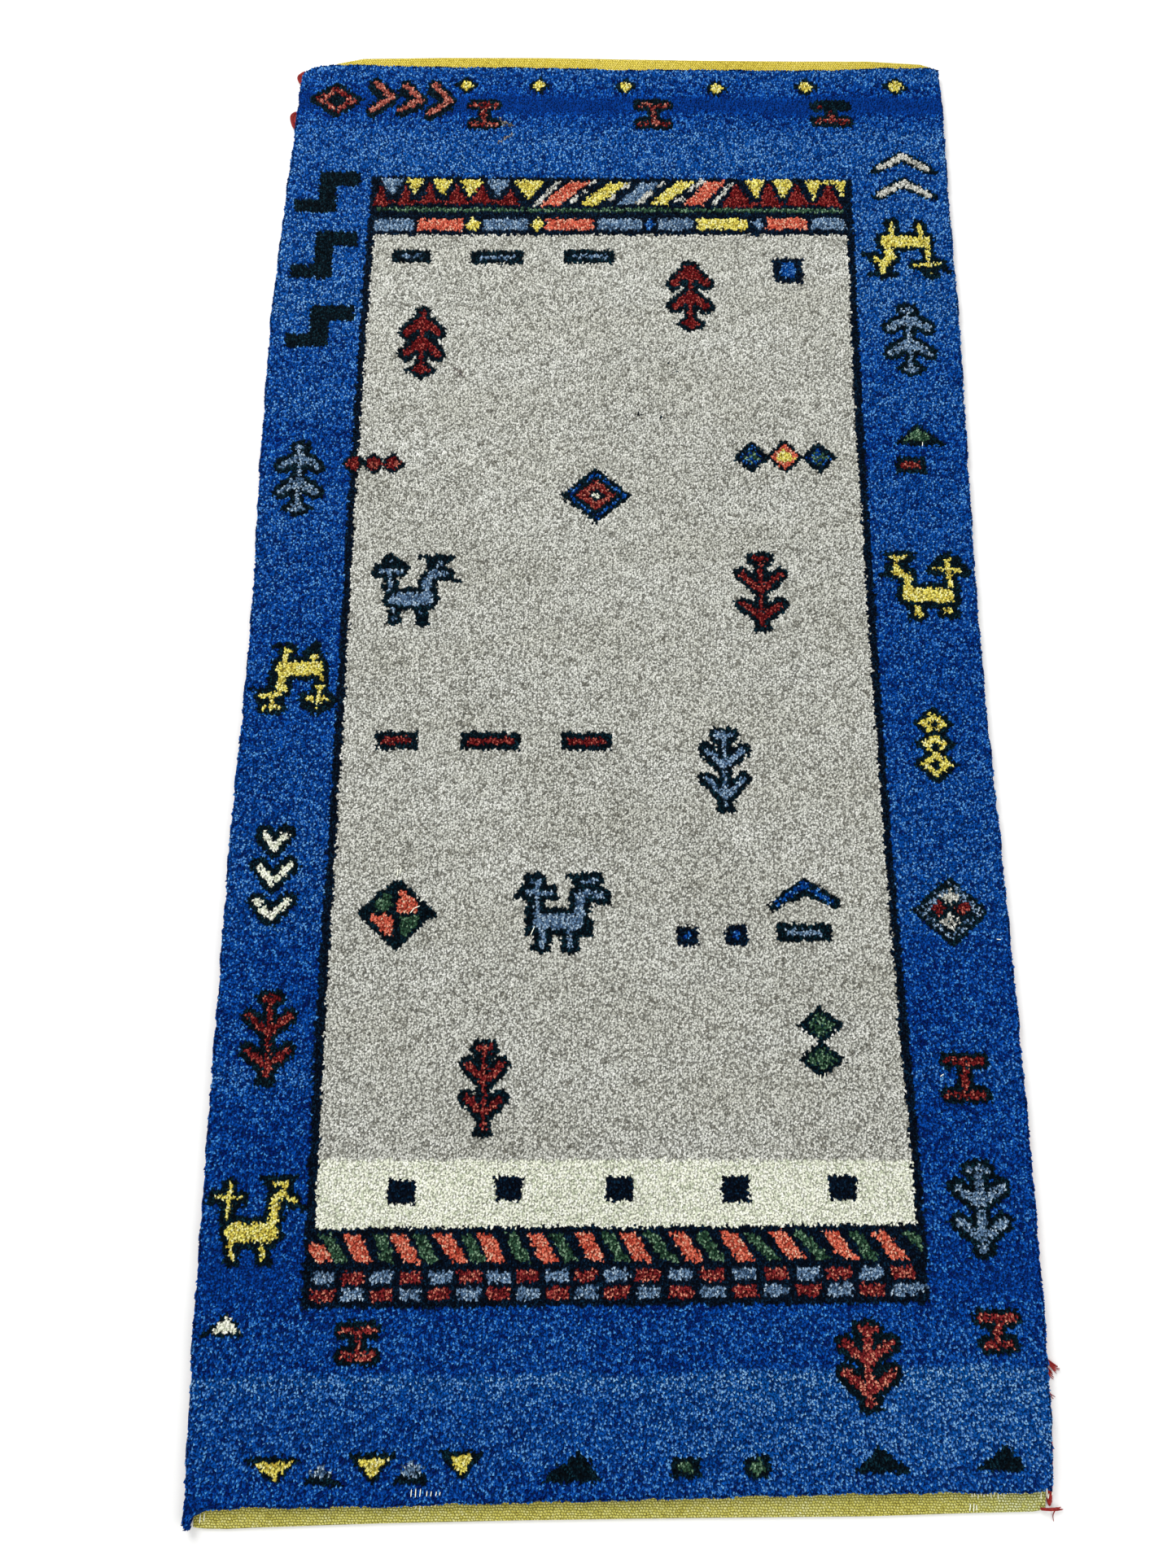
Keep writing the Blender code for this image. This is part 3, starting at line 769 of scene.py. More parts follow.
def dyeLots(x, y, yarn):
    # blue follows the bands along the rug, lighter to the right at the near end; red is lighter
    # towards the near end; the others drift slowly
    blueLot = np.interp(y - 0.01 * x + 1.2 * waves(x, y * 0.2, 5, 90), lotRows[:, 0], lotRows[:, 1])
    nearEnd = np.clip((-220 - y) / 8, 0, 1)
    blueLot = blueLot + nearEnd * (0.24 * np.clip(x / 50, -1.4, 1) - 0.2 * np.exp(-((x / 25) ** 2)))
    blueLot = blueLot + 0.12 * waves(x * 0.5, y * 2, 6, 60)
    otherLot = 0.5 + 0.3 * waves(x, y * 1.6, 7, 70)
    redLot = np.interp(y, (-230, -190, -120, 40, 170), (1.3, 0.9, 0.5, 0.25, 0.15))
    redLot = redLot + 0.08 * waves(x, y, 8, 40)
    isBlue, isRed = (yarn == yarnNames.index(name) for name in ("blue", "red"))
    return np.select([isBlue, isRed], [blueLot, redLot], otherLot)


# tufts

def newPiece(name, points, faces, material, slotName, shade, lot, height, smooth=True, uv=None):
    # faces is one array of equal faces; shade, lot and height are one value, or one for each point
    mesh = bpy.data.meshes.new(name)
    count, sides = faces.shape
    mesh.vertices.add(len(points))
    mesh.vertices.foreach_set("co", np.ascontiguousarray(points, dtype=np.float32).ravel())
    mesh.loops.add(count * sides)
    mesh.loops.foreach_set("vertex_index", np.ascontiguousarray(faces, dtype=np.int32).ravel())
    mesh.polygons.add(count)
    mesh.polygons.foreach_set("loop_start", np.arange(0, count * sides, sides, dtype=np.int32))
    mesh.update(calc_edges=True)
    mesh.polygons.foreach_set("use_smooth", np.full(count, smooth))
    for label, values in (("shade", shade), ("lot", lot), ("height", height)):
        layer = mesh.attributes.new(label, "FLOAT", "POINT")
        layer.data.foreach_set("value", np.broadcast_to(values, len(points)).astype(np.float32))
    if uv is not None:
        layer = mesh.uv_layers.new(name="OFBake")
        layer.data.foreach_set("uv", np.ascontiguousarray(uv, dtype=np.float32).ravel())
    mesh.materials.append(material)
    obj = bpy.data.objects.new(name, mesh)
    bpy.context.scene.collection.objects.link(obj)
    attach(obj, "root")
    return obj


wobbleWaves = ((0.080, 0.5), (0.040, 0.45), (0.023, 0.3), (0.014, 0.2), (0.009, 0.15))  # length and size
leftSeed, rightSeed, nearSeed, farSeed = 51, 52, 53, 54


def edgeWobble(along, seed):
    # how far the pile's edge draws in: a sum of sine waves along it
    random = np.random.default_rng(seed)
    total = 0.4 + 0 * along
    for length, size in wobbleWaves:
        total = total + size * np.sin(along * 2 * math.pi / length + random.uniform(0, 6))
    return np.clip(total, -0.5, 1.8) * pile["wobble"]


def standingTufts():
    # roots on a grid drawn between the rug's edges, tips leaning mostly towards the near end
    rows = round((endEdge(0.5, "farPile") - endEdge(0.5, "nearPile")) / pile["pitch"])
    columns = round(pile["width"] / pile["pitch"])
    share, along = np.meshgrid((np.arange(columns) + 0.5) / columns, (np.arange(rows) + 0.5) / rows)
    along = along + 0.5 / rows * (np.arange(columns) % 2)[None, :]
    share, along = share.ravel(), along.ravel()
    near, far = pileEnds(share)
    y = near + along * (far - near)
    left, right = sideEdges(y)
    x = left + share * (right - left)
    x = x + rng.uniform(-1, 1, x.size) * pile["jitter"]
    y = y + rng.uniform(-1, 1, x.size) * pile["jitter"]
    left, right = sideEdges(y)
    fade = pile["wobbleFade"]
    x = (x + edgeWobble(y, leftSeed) * np.exp((left - x) / fade)
         - edgeWobble(y, rightSeed) * np.exp((x - right) / fade))
    y = (y + edgeWobble(x, nearSeed) * np.exp((near - y) / fade)
         - edgeWobble(x, farSeed) * np.exp((y - far) / fade))
    chartX, chartY = x / knot, y / knot
    inward = np.minimum.reduce([x - left, right - x, y - near, far - y])
    top = np.interp(inward, pile["rimInward"], pile["rimTop"])
    top = top + 0.00025 * waves(chartX, chartY, 11, 120) - rng.beta(1.3, 2.2, x.size) * pile["tipSpread"]
    top = np.minimum(top, pile["highest"])
    across = waves(chartX, chartY, 13, 19)
    leanX, leanY = (lean + pile["leanSway"] * sway + rng.normal(0, 1, x.size) * pile["leanSpread"]
                    for lean, sway in zip(pile["lean"], (across, waves(chartX, chartY, 12, 26))))
    root = np.column_stack([x, y, np.full(x.size, pile["root"])])
    tip = np.column_stack([np.clip(x + leanX, left, right), np.clip(y + leanY, near, far), top])
    angle = 0.6 * across + rng.normal(0, 0.6, x.size) + math.pi * rng.integers(0, 2, x.size)
    u = np.column_stack([np.cos(angle), np.sin(angle), np.zeros(x.size)])
    v = np.column_stack([-np.sin(angle), np.cos(angle), np.zeros(x.size)])
    return root, tip, u, v


def aroundPile(across, along, shake):
    # points round the pile's outline, counter-clockwise, their way along and out, and how far the
    # edge draws in there
    zero, one = np.zeros, np.ones
    share = np.concatenate([np.linspace(0, 1, across), one(along), np.linspace(1, 0, across), zero(along)])
    rise = np.concatenate([zero(across), np.linspace(0, 1, along), one(across), np.linspace(1, 0, along)])
    share = np.clip(share + rng.uniform(-1, 1, share.size) * shake, 0, 1)
    near, far = pileEnds(share)
    y = near + rise * (far - near) + rng.uniform(-1, 1, share.size) * 0.5 * shake * (rise > 0) * (rise < 1)
    left, right = sideEdges(y)
    route = np.column_stack([left + share * (right - left), y])
    ahead = np.roll(route, -4, axis=0) - np.roll(route, 4, axis=0)
    ahead /= np.linalg.norm(ahead, axis=1)[:, None] + 1e-9
    out = np.column_stack([ahead[:, 1], -ahead[:, 0]])
    side = np.argmax(np.column_stack([-out[:, 0], out[:, 0], -out[:, 1], out[:, 1]]), axis=1)
    wobbles = [edgeWobble(route[:, 1], leftSeed), edgeWobble(route[:, 1], rightSeed),
               edgeWobble(route[:, 0], nearSeed), edgeWobble(route[:, 0], farSeed)]
    return route, ahead, out, np.choose(side, wobbles)


def pileWall():
    # quads round the pile a little inside its edge, for the edge tufts to stand out of, dark with the full
    # painted root shadow
    route, _, out, wobble = aroundPile(150, 300, 0)
    foot = route - out * (pile["wallInset"] + wobble)[:, None]
    after = np.roll(foot, -1, axis=0)
    low, high = (np.full(len(foot), height) for height in pile["wallHeights"])
    corners = ((foot, low), (after, low), (after, high), (foot, high))
    return np.stack([np.column_stack([*spot.T, height]) for spot, height in corners], axis=1)


def keptInside(points):
    # the points drawn in to the pile's outline as its edge wobbles
    x, y, z = points.T
    margin = 0.0005
    left, right = sideEdges(y)
    near, far = pileEnds(np.clip((x - left) / (right - left), 0, 1))
    x = np.clip(x, left + margin + edgeWobble(y, leftSeed), right - margin - edgeWobble(y, rightSeed))
    y = np.clip(y, near + margin + edgeWobble(x, nearSeed), far - margin - edgeWobble(x, farSeed))
    return np.column_stack([x, y, z])


def edgeTufts():
    # rows round the pile's side wall, pointing outwards and a little down
    sets = []
    for height, inset in pile["edgeRows"]:
        route, ahead, out, wobble = aroundPile(390, 780, 0.0012)
        count = len(route)
        drop = rng.uniform(0, 1, count)
        wander = rng.normal(0, 0.0004, count)
        inset = inset + wobble
        tipXY = route - out * (inset + drop * 0.0005)[:, None] + ahead * wander[:, None]
        rootXY = route - out * (inset + pile["edgeReach"])[:, None]
        tip = np.column_stack([tipXY, height - 0.0004 * drop])
        root = np.column_stack([rootXY, np.full(count, height + 0.0002)])
        u = np.column_stack([-out[:, 1], out[:, 0], np.zeros(count)])
        v = np.tile((0.0, 0.0, 1.0), (count, 1))
        sets.append((root, tip, u, v))
    return [np.concatenate(group) for group in zip(*sets)]


def facesOfFours(count, first, corners):
    # the same faces on every group of four points, numbered from first
    return (first + np.arange(count)[:, None, None] * 4 + np.array(corners)[None]).reshape(-1, 3)


def bakeSpots(tuftCount, quadCount):
    # a cell of a square grid for each tuft, then for each quad of the bed: four points in each
    total = tuftCount + quadCount
    side = math.ceil(math.sqrt(total))
    cell = np.column_stack([np.arange(total) % side, np.arange(total) // side])[:, None, :]
    tuftSpot = np.array([[0.06, 0.06], [0.94, 0.06], [0.5, 0.94], [0.5, 0.4]])
    quadSpot = np.array([[0.06, 0.06], [0.94, 0.06], [0.94, 0.94], [0.06, 0.94]])
    return np.concatenate([cell[:tuftCount] + tuftSpot, cell[tuftCount:] + quadSpot]).reshape(-1, 2) / side


def makeTufts(bedPoints, bedYarn):
    # each tuft is 3 faces from a triangle at its root to one tip, kept in one mesh for each yarn
    # with the bed under it; blue tufts are lighter and even in some dye lots
    standing, edges = standingTufts(), edgeTufts()
    root, tip, u, v = (np.concatenate([a, b]) for a, b in zip(standing, edges))
    count = len(root)
    chartX, chartY = (tip[:, axis] / knot + rng.uniform(-1, 1, count) * pile["ragged"] for axis in (0, 1))
    yarn = chartYarns(chartX, chartY)
    lot = dyeLots(root[:, 0] / knot, root[:, 1] / knot, yarn)
    shade = rng.beta(1.3, 1.6, count) + 0.08 * waves(root[:, 0] / knot, root[:, 1] / knot, 14, 9)
    isBlue = yarn == yarnNames.index("blue")
    # darker blue lots have fewer light tufts, so fewer of them carry the painted glint
    shade = np.clip(shade + np.where(isBlue, 0.17 * (lot - 0.9), 0), 0, 1)
    shade = shade + isBlue * np.clip(-2 * lot, 0, 0.75) * (0.17 - shade)
    lot = np.maximum(lot, 0)
    upright = np.arange(count) < len(standing[0])
    halfA, halfB = (np.where(upright, pile[key], pile["edgeHalf"]) * rng.uniform(0.75, 1.2, count)
                    for key in ("halfAcross", "halfAlong"))
    corners = [root + sa * u * halfA[:, None] + sb * v * halfB[:, None]
               for sa, sb in ((-0.87, -0.5), (0.87, -0.5), (0, 1))]
    corners = [np.where(upright[:, None], keptInside(corner), corner) for corner in corners]
    points = np.stack(corners + [tip], axis=1)
    made = []
    for index, name in enumerate(yarnNames):
        mine = np.flatnonzero(yarn == index)
        pieces = {f"pile_{name}": mine}
        if len(mine) > pile["mostTufts"]:
            isLeft = root[mine, 0] < np.median(root[mine, 0])
            pieces = {f"pile_{name}_left": mine[isLeft], f"pile_{name}_right": mine[~isLeft]}
        material = woolMaterial(f"{name} wool pile", yarns[name], yarns[name]["shadow"])
        under = bedPoints[bedYarn == index]
        for label, picked in pieces.items():
            n, m = len(picked), len(under)
            faces = np.concatenate([facesOfFours(n, 0, ((0, 1, 3), (1, 2, 3), (2, 0, 3))),
                                    facesOfFours(m, n * 4, ((0, 1, 2), (0, 2, 3)))])
            shades, lots = (np.append(np.repeat(values[picked], 4), np.full(4 * m, bed["lot"]))
                            for values in (shade, lot))
            # the bed and wall get height 0, so they take the full painted root shadow, the shade under the
            # tufts
            heights = np.append(np.tile([0.0, 0.0, 0.0, 1.0], n), np.zeros(4 * m))
            allPoints = np.concatenate([points[picked], under]).reshape(-1, 3)
            made.append(newPiece(label, allPoints, faces, material, yarns[name]["slot"],
                                 shades, lots, heights, uv=bakeSpots(n, m)[faces.ravel()]))
            print(f"{label}: {n} tufts")
            under = under[:0]                       # the first piece holds it all
    return made


bed = {"rowsFrom": -263, "rowsTo": 263, "sideInset": 0.0024, "endInset": 0.0022,
       "curvedFrom": 0.68, "shortRun": 8, "leastLength": 0.00001, "lot": 0.4}


def runQuads(stepY, warp, z, faceUp):
    # row by row, one quad for each stretch of knots of one yarn: points, quads and the yarn of each
    columns = round(pile["width"] / knot)
    middles = (stepY[:-1] + stepY[1:]) / 2
    share, y = np.meshgrid((np.arange(columns) + 0.5) / columns, middles)
    x, held = warp(share, y)
    kinds = chartYarns(x / knot, held / knot)
    change = np.ones((len(middles), columns + 1), dtype=bool)
    change[:, 1:-1] = kinds[:, 1:] != kinds[:, :-1]
    change[np.abs(middles) > bed["curvedFrom"], ::bed["shortRun"]] = True
    row, column = np.nonzero(change)
    keep = row[:-1] == row[1:]
    row, start, stop = row[:-1][keep], column[:-1][keep], column[1:][keep]
    low, high = stepY[row], stepY[row + 1]
    corners = [warp(place / columns, level)
               for place, level in ((start, low), (stop, low), (stop, high), (start, high))]
    whole = np.maximum(corners[3][1] - corners[0][1], corners[2][1] - corners[1][1]) > bed["leastLength"]
    if not faceUp:
        corners = [corners[n] for n in (0, 3, 2, 1)]
    points = np.stack([np.column_stack([cx, cy, np.full(len(cx), z)]) for cx, cy in corners], axis=1)
    return points[whole], kinds[row, start][whole]


def insideOutline(followsCord, sideInset, endInset):
    # gives the place of (share across, y) in the pile's outline drawn in by the insets
    def warp(share, y):
        near, far = pileEnds(share)
        held = np.clip(y, near + endInset, far - endInset)
        left, right = sideEdges(held, followsCord)
        return left + sideInset + share * (right - left - 2 * sideInset), held
    return warp


knotRows = np.arange(bed["rowsFrom"], bed["rowsTo"]) * knot
bedOutline = insideOutline(0, bed["sideInset"], bed["endInset"])
bedPoints, bedYarn = runQuads(knotRows, bedOutline, pile["bedTop"], True)
wall = pileWall()
wallYarn = np.full(len(wall), yarnNames.index("blue"), dtype=bedYarn.dtype)
tufts = makeTufts(np.concatenate([bedPoints, wall]), np.concatenate([bedYarn, wallYarn]))
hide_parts("pile")
for other in tufts[1:]:
    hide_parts("pile")


# ground weave: the sheet with its yellow ends, and the knots' backs under it

ground = {
    "thickness": 0.0030, "bumpWidth": 0.0024, "rowPitch": 0.0020, "relief": 0.00045, "column": 0.00085,
    "width": 0.7, "sway": 0.38, "reachUnder": 0.006, "leastEnd": 0.004, "rim": 0.55,
    "bottomReach": 0.03, "bottomHeight": 0.0002,
}
swayRates = ((330, 1450), (-910, 620), (170, 240), (590, -380))  # radians a metre along x and y
straw = yarnLook("weave", (140, 118, 20), (214, 192, 50), (232, 216, 100), (1.28, 1.3, 2.4), (1.0, 1.17, 3.9))
wrapping = yarnLook("selvedge", (96, 20, 22), (160, 42, 38), (200, 84, 70), *plainLots(0.8, 1.15), 0.55)


def bumpRowsGroup():
    # height = |sin across| * |sin along|, where each row along moves across by the shift and both
    # sway a little; painted seam shade = how light a bump is painted, darkest at its seams and a little
    # lighter on its top
    group, given = newGroup("bump rows", dict.fromkeys(("Across", "Along", "Shift", "Sway", "Seam"), "Float"),
                            dict.fromkeys(("Height", "Painted Seam Shade"), "Float"))
    place = addNode(group, "ShaderNodeTexCoord", {})["Object"]
    split = addNode(group, "ShaderNodeSeparateXYZ", {"Vector": place})

    def worked(operation, *values):
        return calculate(group, operation, *values)

    ripples = [
        worked("SINE", worked("MULTIPLY_ADD", split["X"], rateX, worked("MULTIPLY", split["Y"], rateY)))
        for rateX, rateY in swayRates]
    sways = [worked("MULTIPLY", worked("ADD", *pair), given["Sway"]) for pair in (ripples[:2], ripples[2:])]
    along = worked("MULTIPLY_ADD", split["Y"], given["Along"], sways[1])
    row = worked("FLOOR", worked("DIVIDE", along, math.pi))
    level = worked("MULTIPLY_ADD", split["X"], given["Across"], sways[0])
    across = worked("MULTIPLY_ADD", row, given["Shift"], level)
    bumps = [worked("POWER", worked("ABSOLUTE", worked("SINE", phase)), 0.5) for phase in (across, along)]
    both = worked("MULTIPLY", *bumps)
    seamShade = ranged(group, both, 0.0, 1.0, given["Seam"], 1.05)
    addNode(group, "NodeGroupOutput", {"Height": both, "Painted Seam Shade": seamShade})
    return group


bumpRows = bumpRowsGroup()


def bumpyMaterial(name, yarn, width, length, shift, sway, seam, depth):
    # wool in rows of bumps of that width and length, each row moved across by shift of a bump, with painted
    # shade in the seams between bumps
    material = woolMaterial(name, yarn, 0.5, 1200, 0.25, 0.1, depth)
    tree = material.node_tree
    shader = tree.nodes["Principled BSDF"]
    rows = addNode(tree, "ShaderNodeGroup", {
        "Across": math.pi / width, "Along": math.pi / length, "Shift": math.pi * shift, "Sway": sway,
        "Seam": seam,
    }, node_tree=bumpRows)
    relief = shader.inputs["Normal"].links[0].from_node
    setInputs(relief, {"Strength": 1.0, "Height": rows["Height"]})
    color = shader.inputs["Base Color"].links[0].from_socket
    # painted shade: the colour darkened in the seams between bumps
    setInputs(shader, {"Base Color": scaled(tree, color, rows["Painted Seam Shade"])})
    return material


strawWool = bumpyMaterial("straw weft", straw, ground["bumpWidth"], ground["rowPitch"], 0.5, ground["sway"],
                          0.5, 0.0003)
redWool = woolMaterial("red wrapping", wrapping, wrapping["shadow"], 1400, 0.25, 0.2, 0.0001)


def gridFaces(rows, columns, wrapRows=False):
    # quads of a grid of points, row by row, its last row joined to the first if wrapped
    n = np.arange(rows if wrapRows else rows - 1)[:, None]
    m = np.arange(columns - 1)[None, :]
    after = (n + 1) % rows
    first, second = n * columns + m, after * columns + m
    return np.stack([first, first + 1, second + 1, second], axis=-1).reshape(-1, 4)


def wovenRelief(x, y):
    # weft bumps, as in the straw weft's own rows: |sin| across at the warps' pitch times |sin| along
    ripples = [np.sin(x * rateX + y * rateY) for rateX, rateY in swayRates]
    along = math.pi * y / ground["rowPitch"] + ground["sway"] * (ripples[2] + ripples[3])
    row = np.floor(along / math.pi)
    across = math.pi * (x / ground["bumpWidth"] + 0.5 * row) + ground["sway"] * (ripples[0] + ripples[1])
    return np.abs(np.sin(across)) ** 0.8 * np.abs(np.sin(along)) ** 0.6


def makeGround():
    # a closed section along the rug (bottom, near end, top, far end) carried across it
    columns = round(ground["width"] / ground["column"])
    share = np.concatenate([[0], np.linspace(0.0006, 0.9994, columns), [1]])
    nearEnd, farEnd = endEdge(share, "nearWeave"), endEdge(share, "farWeave")
    nearPile, farPile = pileEnds(share)
    nearReach = np.maximum(nearPile - nearEnd, ground["leastEnd"]) + ground["reachUnder"]
    farReach = np.maximum(farEnd - farPile, ground["leastEnd"]) + ground["reachUnder"]
    half = ground["thickness"] / 2
    turn = np.linspace(0, math.pi, 7)
    onTop = np.linspace(0, 1, 36)

    def bottom(endY, inward, reaches):
        return [(endY + inward * (reach * ground["bottomReach"] + 0.001), ground["bottomHeight"], 0)
                for reach in reaches]

    def roundEnd(endY, inward, angles):
        return [
            (endY + inward * half * (1 - math.sin(angle)), half * (1 - math.cos(angle)), float(angle > 1.6))
            for angle in angles]

    # for each ring of the section: its y, its height and whether it is on top
    rings = bottom(nearEnd, 1, (0.9, 0.45)) + roundEnd(nearEnd, 1, turn)
    rings += [(nearEnd + half + t * nearReach, ground["thickness"], 1) for t in onTop[1:]]
    rings += [(farEnd - half - (1 - t) * farReach, ground["thickness"], 1) for t in onTop[:-1]]
    rings += roundEnd(farEnd, -1, turn[::-1]) + bottom(farEnd, -1, (0.45, 0.9))
    y = np.array([ring[0] for ring in rings])
    z, top = (np.array([ring[n] for ring in rings])[:, None] + 0 * y for n in (1, 2))
    left, right = sideEdges(y, 1)
    clear = cord["clear"] + 0.0001
    x = left + clear + share[None, :] * (right - left - 2 * clear)
    relief = wovenRelief(x, y)
    rim = np.ones(share.size)
    rim[[0, -1]] = ground["rim"]
    z = half + (z - half) * rim[None, :] - top * ground["relief"] * (1 - relief)
    chartX, chartY = x / knot, y / knot
    dirt = 0.10 * waves(chartX, chartY, 32, 60) + 0.1 * (y < 0) * np.clip((chartX - 104) / 8, 0, 1)
    mottle = 0.16 * waves(chartX * 3, chartY * 3, 31, 12) + 0.16 * rng.normal(0, 1, x.shape)
    # painted shadow: the far end's rounded face is drawn dark
    farFaceShadow = np.zeros((len(rings), 1))
    farFaceShadow[-7:-3] = 1                              # the far end's rounded face is in shadow
    shade = np.clip(0.5 + dirt + mottle, 0, 1) * (1 - farFaceShadow)
    paleness = (y < 0) * (1 + 0.12 * waves(chartX, chartY, 33, 90) + 0.3 * np.clip((chartX - 85) / 30, 0, 1))
    # painted shade: through height, the hollows between weft bumps and the far face take the painted root
    # shadow
    height = (relief * top + 1 - top) * (1 - 0.7 * farFaceShadow)
    points = np.column_stack([x.ravel(), y.ravel(), z.ravel()])
    faces = gridFaces(len(rings), share.size, True)[:, ::-1]
    sheet = newPiece("ground_weave_cloth", points, faces, strawWool, straw["slot"],
                     shade.ravel(), paleness.ravel(), height.ravel())
    shell = bmesh.new()
    shell.from_mesh(sheet.data)
    bmesh.ops.holes_fill(shell, edges=[e for e in shell.edges if e.is_boundary], sides=0)
    bmesh.ops.recalc_face_normals(shell, faces=shell.faces)
    shell.to_mesh(sheet.data)
    shell.free()
    return sheet


groundSheet = makeGround()
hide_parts("ground_weave")
print("ground weave made")


backs = {"endInset": 0.0008, "height": 0.00005, "halfSpan": 0.73, "shift": 0, "sway": 0.12,
         "seam": 0.3, "depth": 0.0004}


def makeBacks():
    # the chart again on the underside, mirrored by being seen from below
    outline = insideOutline(1, cord["clear"], backs["endInset"])
    points, kinds = runQuads(knotRows, outline, backs["height"], False)
    made = []
    for index, name in enumerate(yarnNames):
        mine = points[kinds == index]
        flat = mine.reshape(-1, 3)
        lot = dyeLots(flat[:, 0] / knot, flat[:, 1] / knot, np.full(len(flat), index))
        shade = np.repeat(np.clip(rng.normal(0.5, 0.06, len(mine)), 0, 1), 4)
        faces = np.arange(len(flat)).reshape(-1, 4)
        uv = (flat[:, :2] + backs["halfSpan"]) / (2 * backs["halfSpan"])
        material = bumpyMaterial(f"{name} knot backs", yarns[name], knot / 2, knot,
                                 *(backs[key] for key in ("shift", "sway", "seam", "depth")))
        made.append(newPiece(f"back_{name}", flat, faces, material, yarns[name]["slot"], shade, lot, 1.0,
                             smooth=False, uv=uv[faces.ravel()]))
    return made


knotBacks = makeBacks()
print("knot backs made")


# wrapped edge cords and loose yarn ends

def tubeAround(route, widths, heights, around, wrap=None):
    # a closed tube whose flattened round section lies on its route, with ridges where it is wrapped
    ahead = np.gradient(route, axis=0)
    ahead /= np.linalg.norm(ahead, axis=1)[:, None] + 1e-12
    across = np.column_stack([ahead[:, 1], -ahead[:, 0], np.zeros(len(route))])
    across /= np.linalg.norm(across, axis=1)[:, None] + 1e-12
    over = np.cross(across, ahead)
    angle = np.arange(around) * 2 * math.pi / around - math.pi / 2
    radius = ridge = np.ones((len(route), around))
    if wrap:
        travelled = np.concatenate([[0], np.cumsum(np.linalg.norm(np.diff(route, axis=0), axis=1))])
        phase = travelled[:, None] / wrap["pitch"] + angle[None, :] / (2 * math.pi) * wrap["turns"]
        ridge = np.abs(np.sin(math.pi * phase)) ** 0.7
        radius = radius - wrap["depth"] * (1 - ridge)
    sideways = (np.cos(angle)[None, :] * radius * widths[:, None] / 2)[:, :, None]
    upwards = (np.sin(angle)[None, :] * radius * heights[:, None] / 2)[:, :, None]
    points = route[:, None, :] + across[:, None, :] * sideways + over[:, None, :] * upwards
    number = np.arange(len(route))[:, None] * around + np.arange(around)[None, :]
    after = np.roll(number, -1, axis=1)
    faces = np.stack([number[:-1], after[:-1], after[1:], number[1:]], axis=-1).reshape(-1, 4)
    return points.reshape(-1, 3), faces, ridge.ravel()


def cordMiddle(y, side):
    # x of the left (side -1) or right (side 1) edge cord's middle at y
    return sideEdges(y, 1)[0 if side < 0 else 1]


def makeCord(name, side, endsY):
    # a wrapped tube along y whose ends fade out, with a tone for each turn of the wrapping and painted shade
    # in the grooves between turns
    count = round((endsY[1] - endsY[0]) / (cord["wrapPitch"] / 4)) + 1
    y = np.linspace(*endsY, count)
    fade = np.clip(np.minimum(y - endsY[0], endsY[1] - y) / 0.004, 0, 1) ** 0.5
    fade[[0, -1]] = 0.02
    uneven = 1 + 0.04 * np.sin(y * 210 + side) + 0.03 * np.sin(y * 83)
    height = cord["height"] * (0.4 + 0.6 * fade) * (fade > 0.03) + 0.0001
    route = np.column_stack([cordMiddle(y, side), y, np.full(count, cord["height"] / 2)])
    wrap = {"pitch": cord["wrapPitch"], "turns": side, "depth": cord["wrapDepth"]}
    points, faces, ridge = tubeAround(route, cord["width"] * fade * uneven, height, cord["around"], wrap)
    points[:, 2] = np.maximum(points[:, 2], 0.00002)
    turns = np.floor(y / cord["wrapPitch"]).astype(int)
    tone = rng.normal(0.5, 0.17, turns.max() - turns.min() + 1)[turns - turns.min()]
    shade = np.repeat(np.clip(tone, 0, 1), cord["around"])
    lot = np.repeat(0.5 + 0.4 * np.sin(y * 37), cord["around"])
    # ridge as height: painted shade in the grooves between turns of the wrapping
    return newPiece(name, points, faces, redWool, wrapping["slot"], shade, lot, ridge)


cordLeft = makeCord("wrapped_cord_left", -1, (-0.7060, 0.6860))
cordRight = makeCord("wrapped_cord_right", 1, (-0.7010, 0.6980))
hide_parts("selvedge_left")
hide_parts("selvedge_right")

# Loose yarns: side, strands, how far they part, and points of (out from the cord's middle, y, height)
looseYarns = (
    ("loose_loop_left", -1, 9, 0.0008, (
        (0, 0.6380, 0.0016), (0.0085, 0.6385, 0.0020), (0.0122, 0.6325, 0.0022), (0.0085, 0.6215, 0.0018),
        (0, 0.6150, 0.0014),
    )),
    ("loose_loop_corner", -1, 7, 0.0006, (
        (0, 0.6740, 0.0016), (0.0085, 0.6790, 0.0018), (0.0105, 0.6860, 0.0018), (0.0055, 0.6930, 0.0014),
    )),
    ("loose_tuft_right", 1, 12, 0.0028, (
        (0, -0.5900, 0.0024), (0.0060, -0.5955, 0.0028), (0.0116, -0.6005, 0.0022),
    )),
    ("loose_stub_right", 1, 9, 0.0022, (
        (0, -0.5960, 0.0020), (0.0036, -0.6010, 0.0024), (0.0050, -0.6065, 0.0018),
    )),
    ("loose_wisp_right", 1, 3, 0.0012, (
        (0, -0.6150, 0.0014), (0.0045, -0.6190, 0.0013), (0.0080, -0.6230, 0.0011),
    )),
    ("loose_tail_right", 1, 9, 0.0010, (
        (-0.0080, -0.7020, 0.0046), (-0.0015, -0.7024, 0.0048), (0.0060, -0.7026, 0.0034),
        (0.0135, -0.7022, 0.0024),
    )),
    ("loose_thread_right", 1, 1, 0.0001, (
        (0.0036, -0.7030, 0.0022), (0.0040, -0.7075, 0.0012), (0.0044, -0.7125, 0.0006),
    )),
)


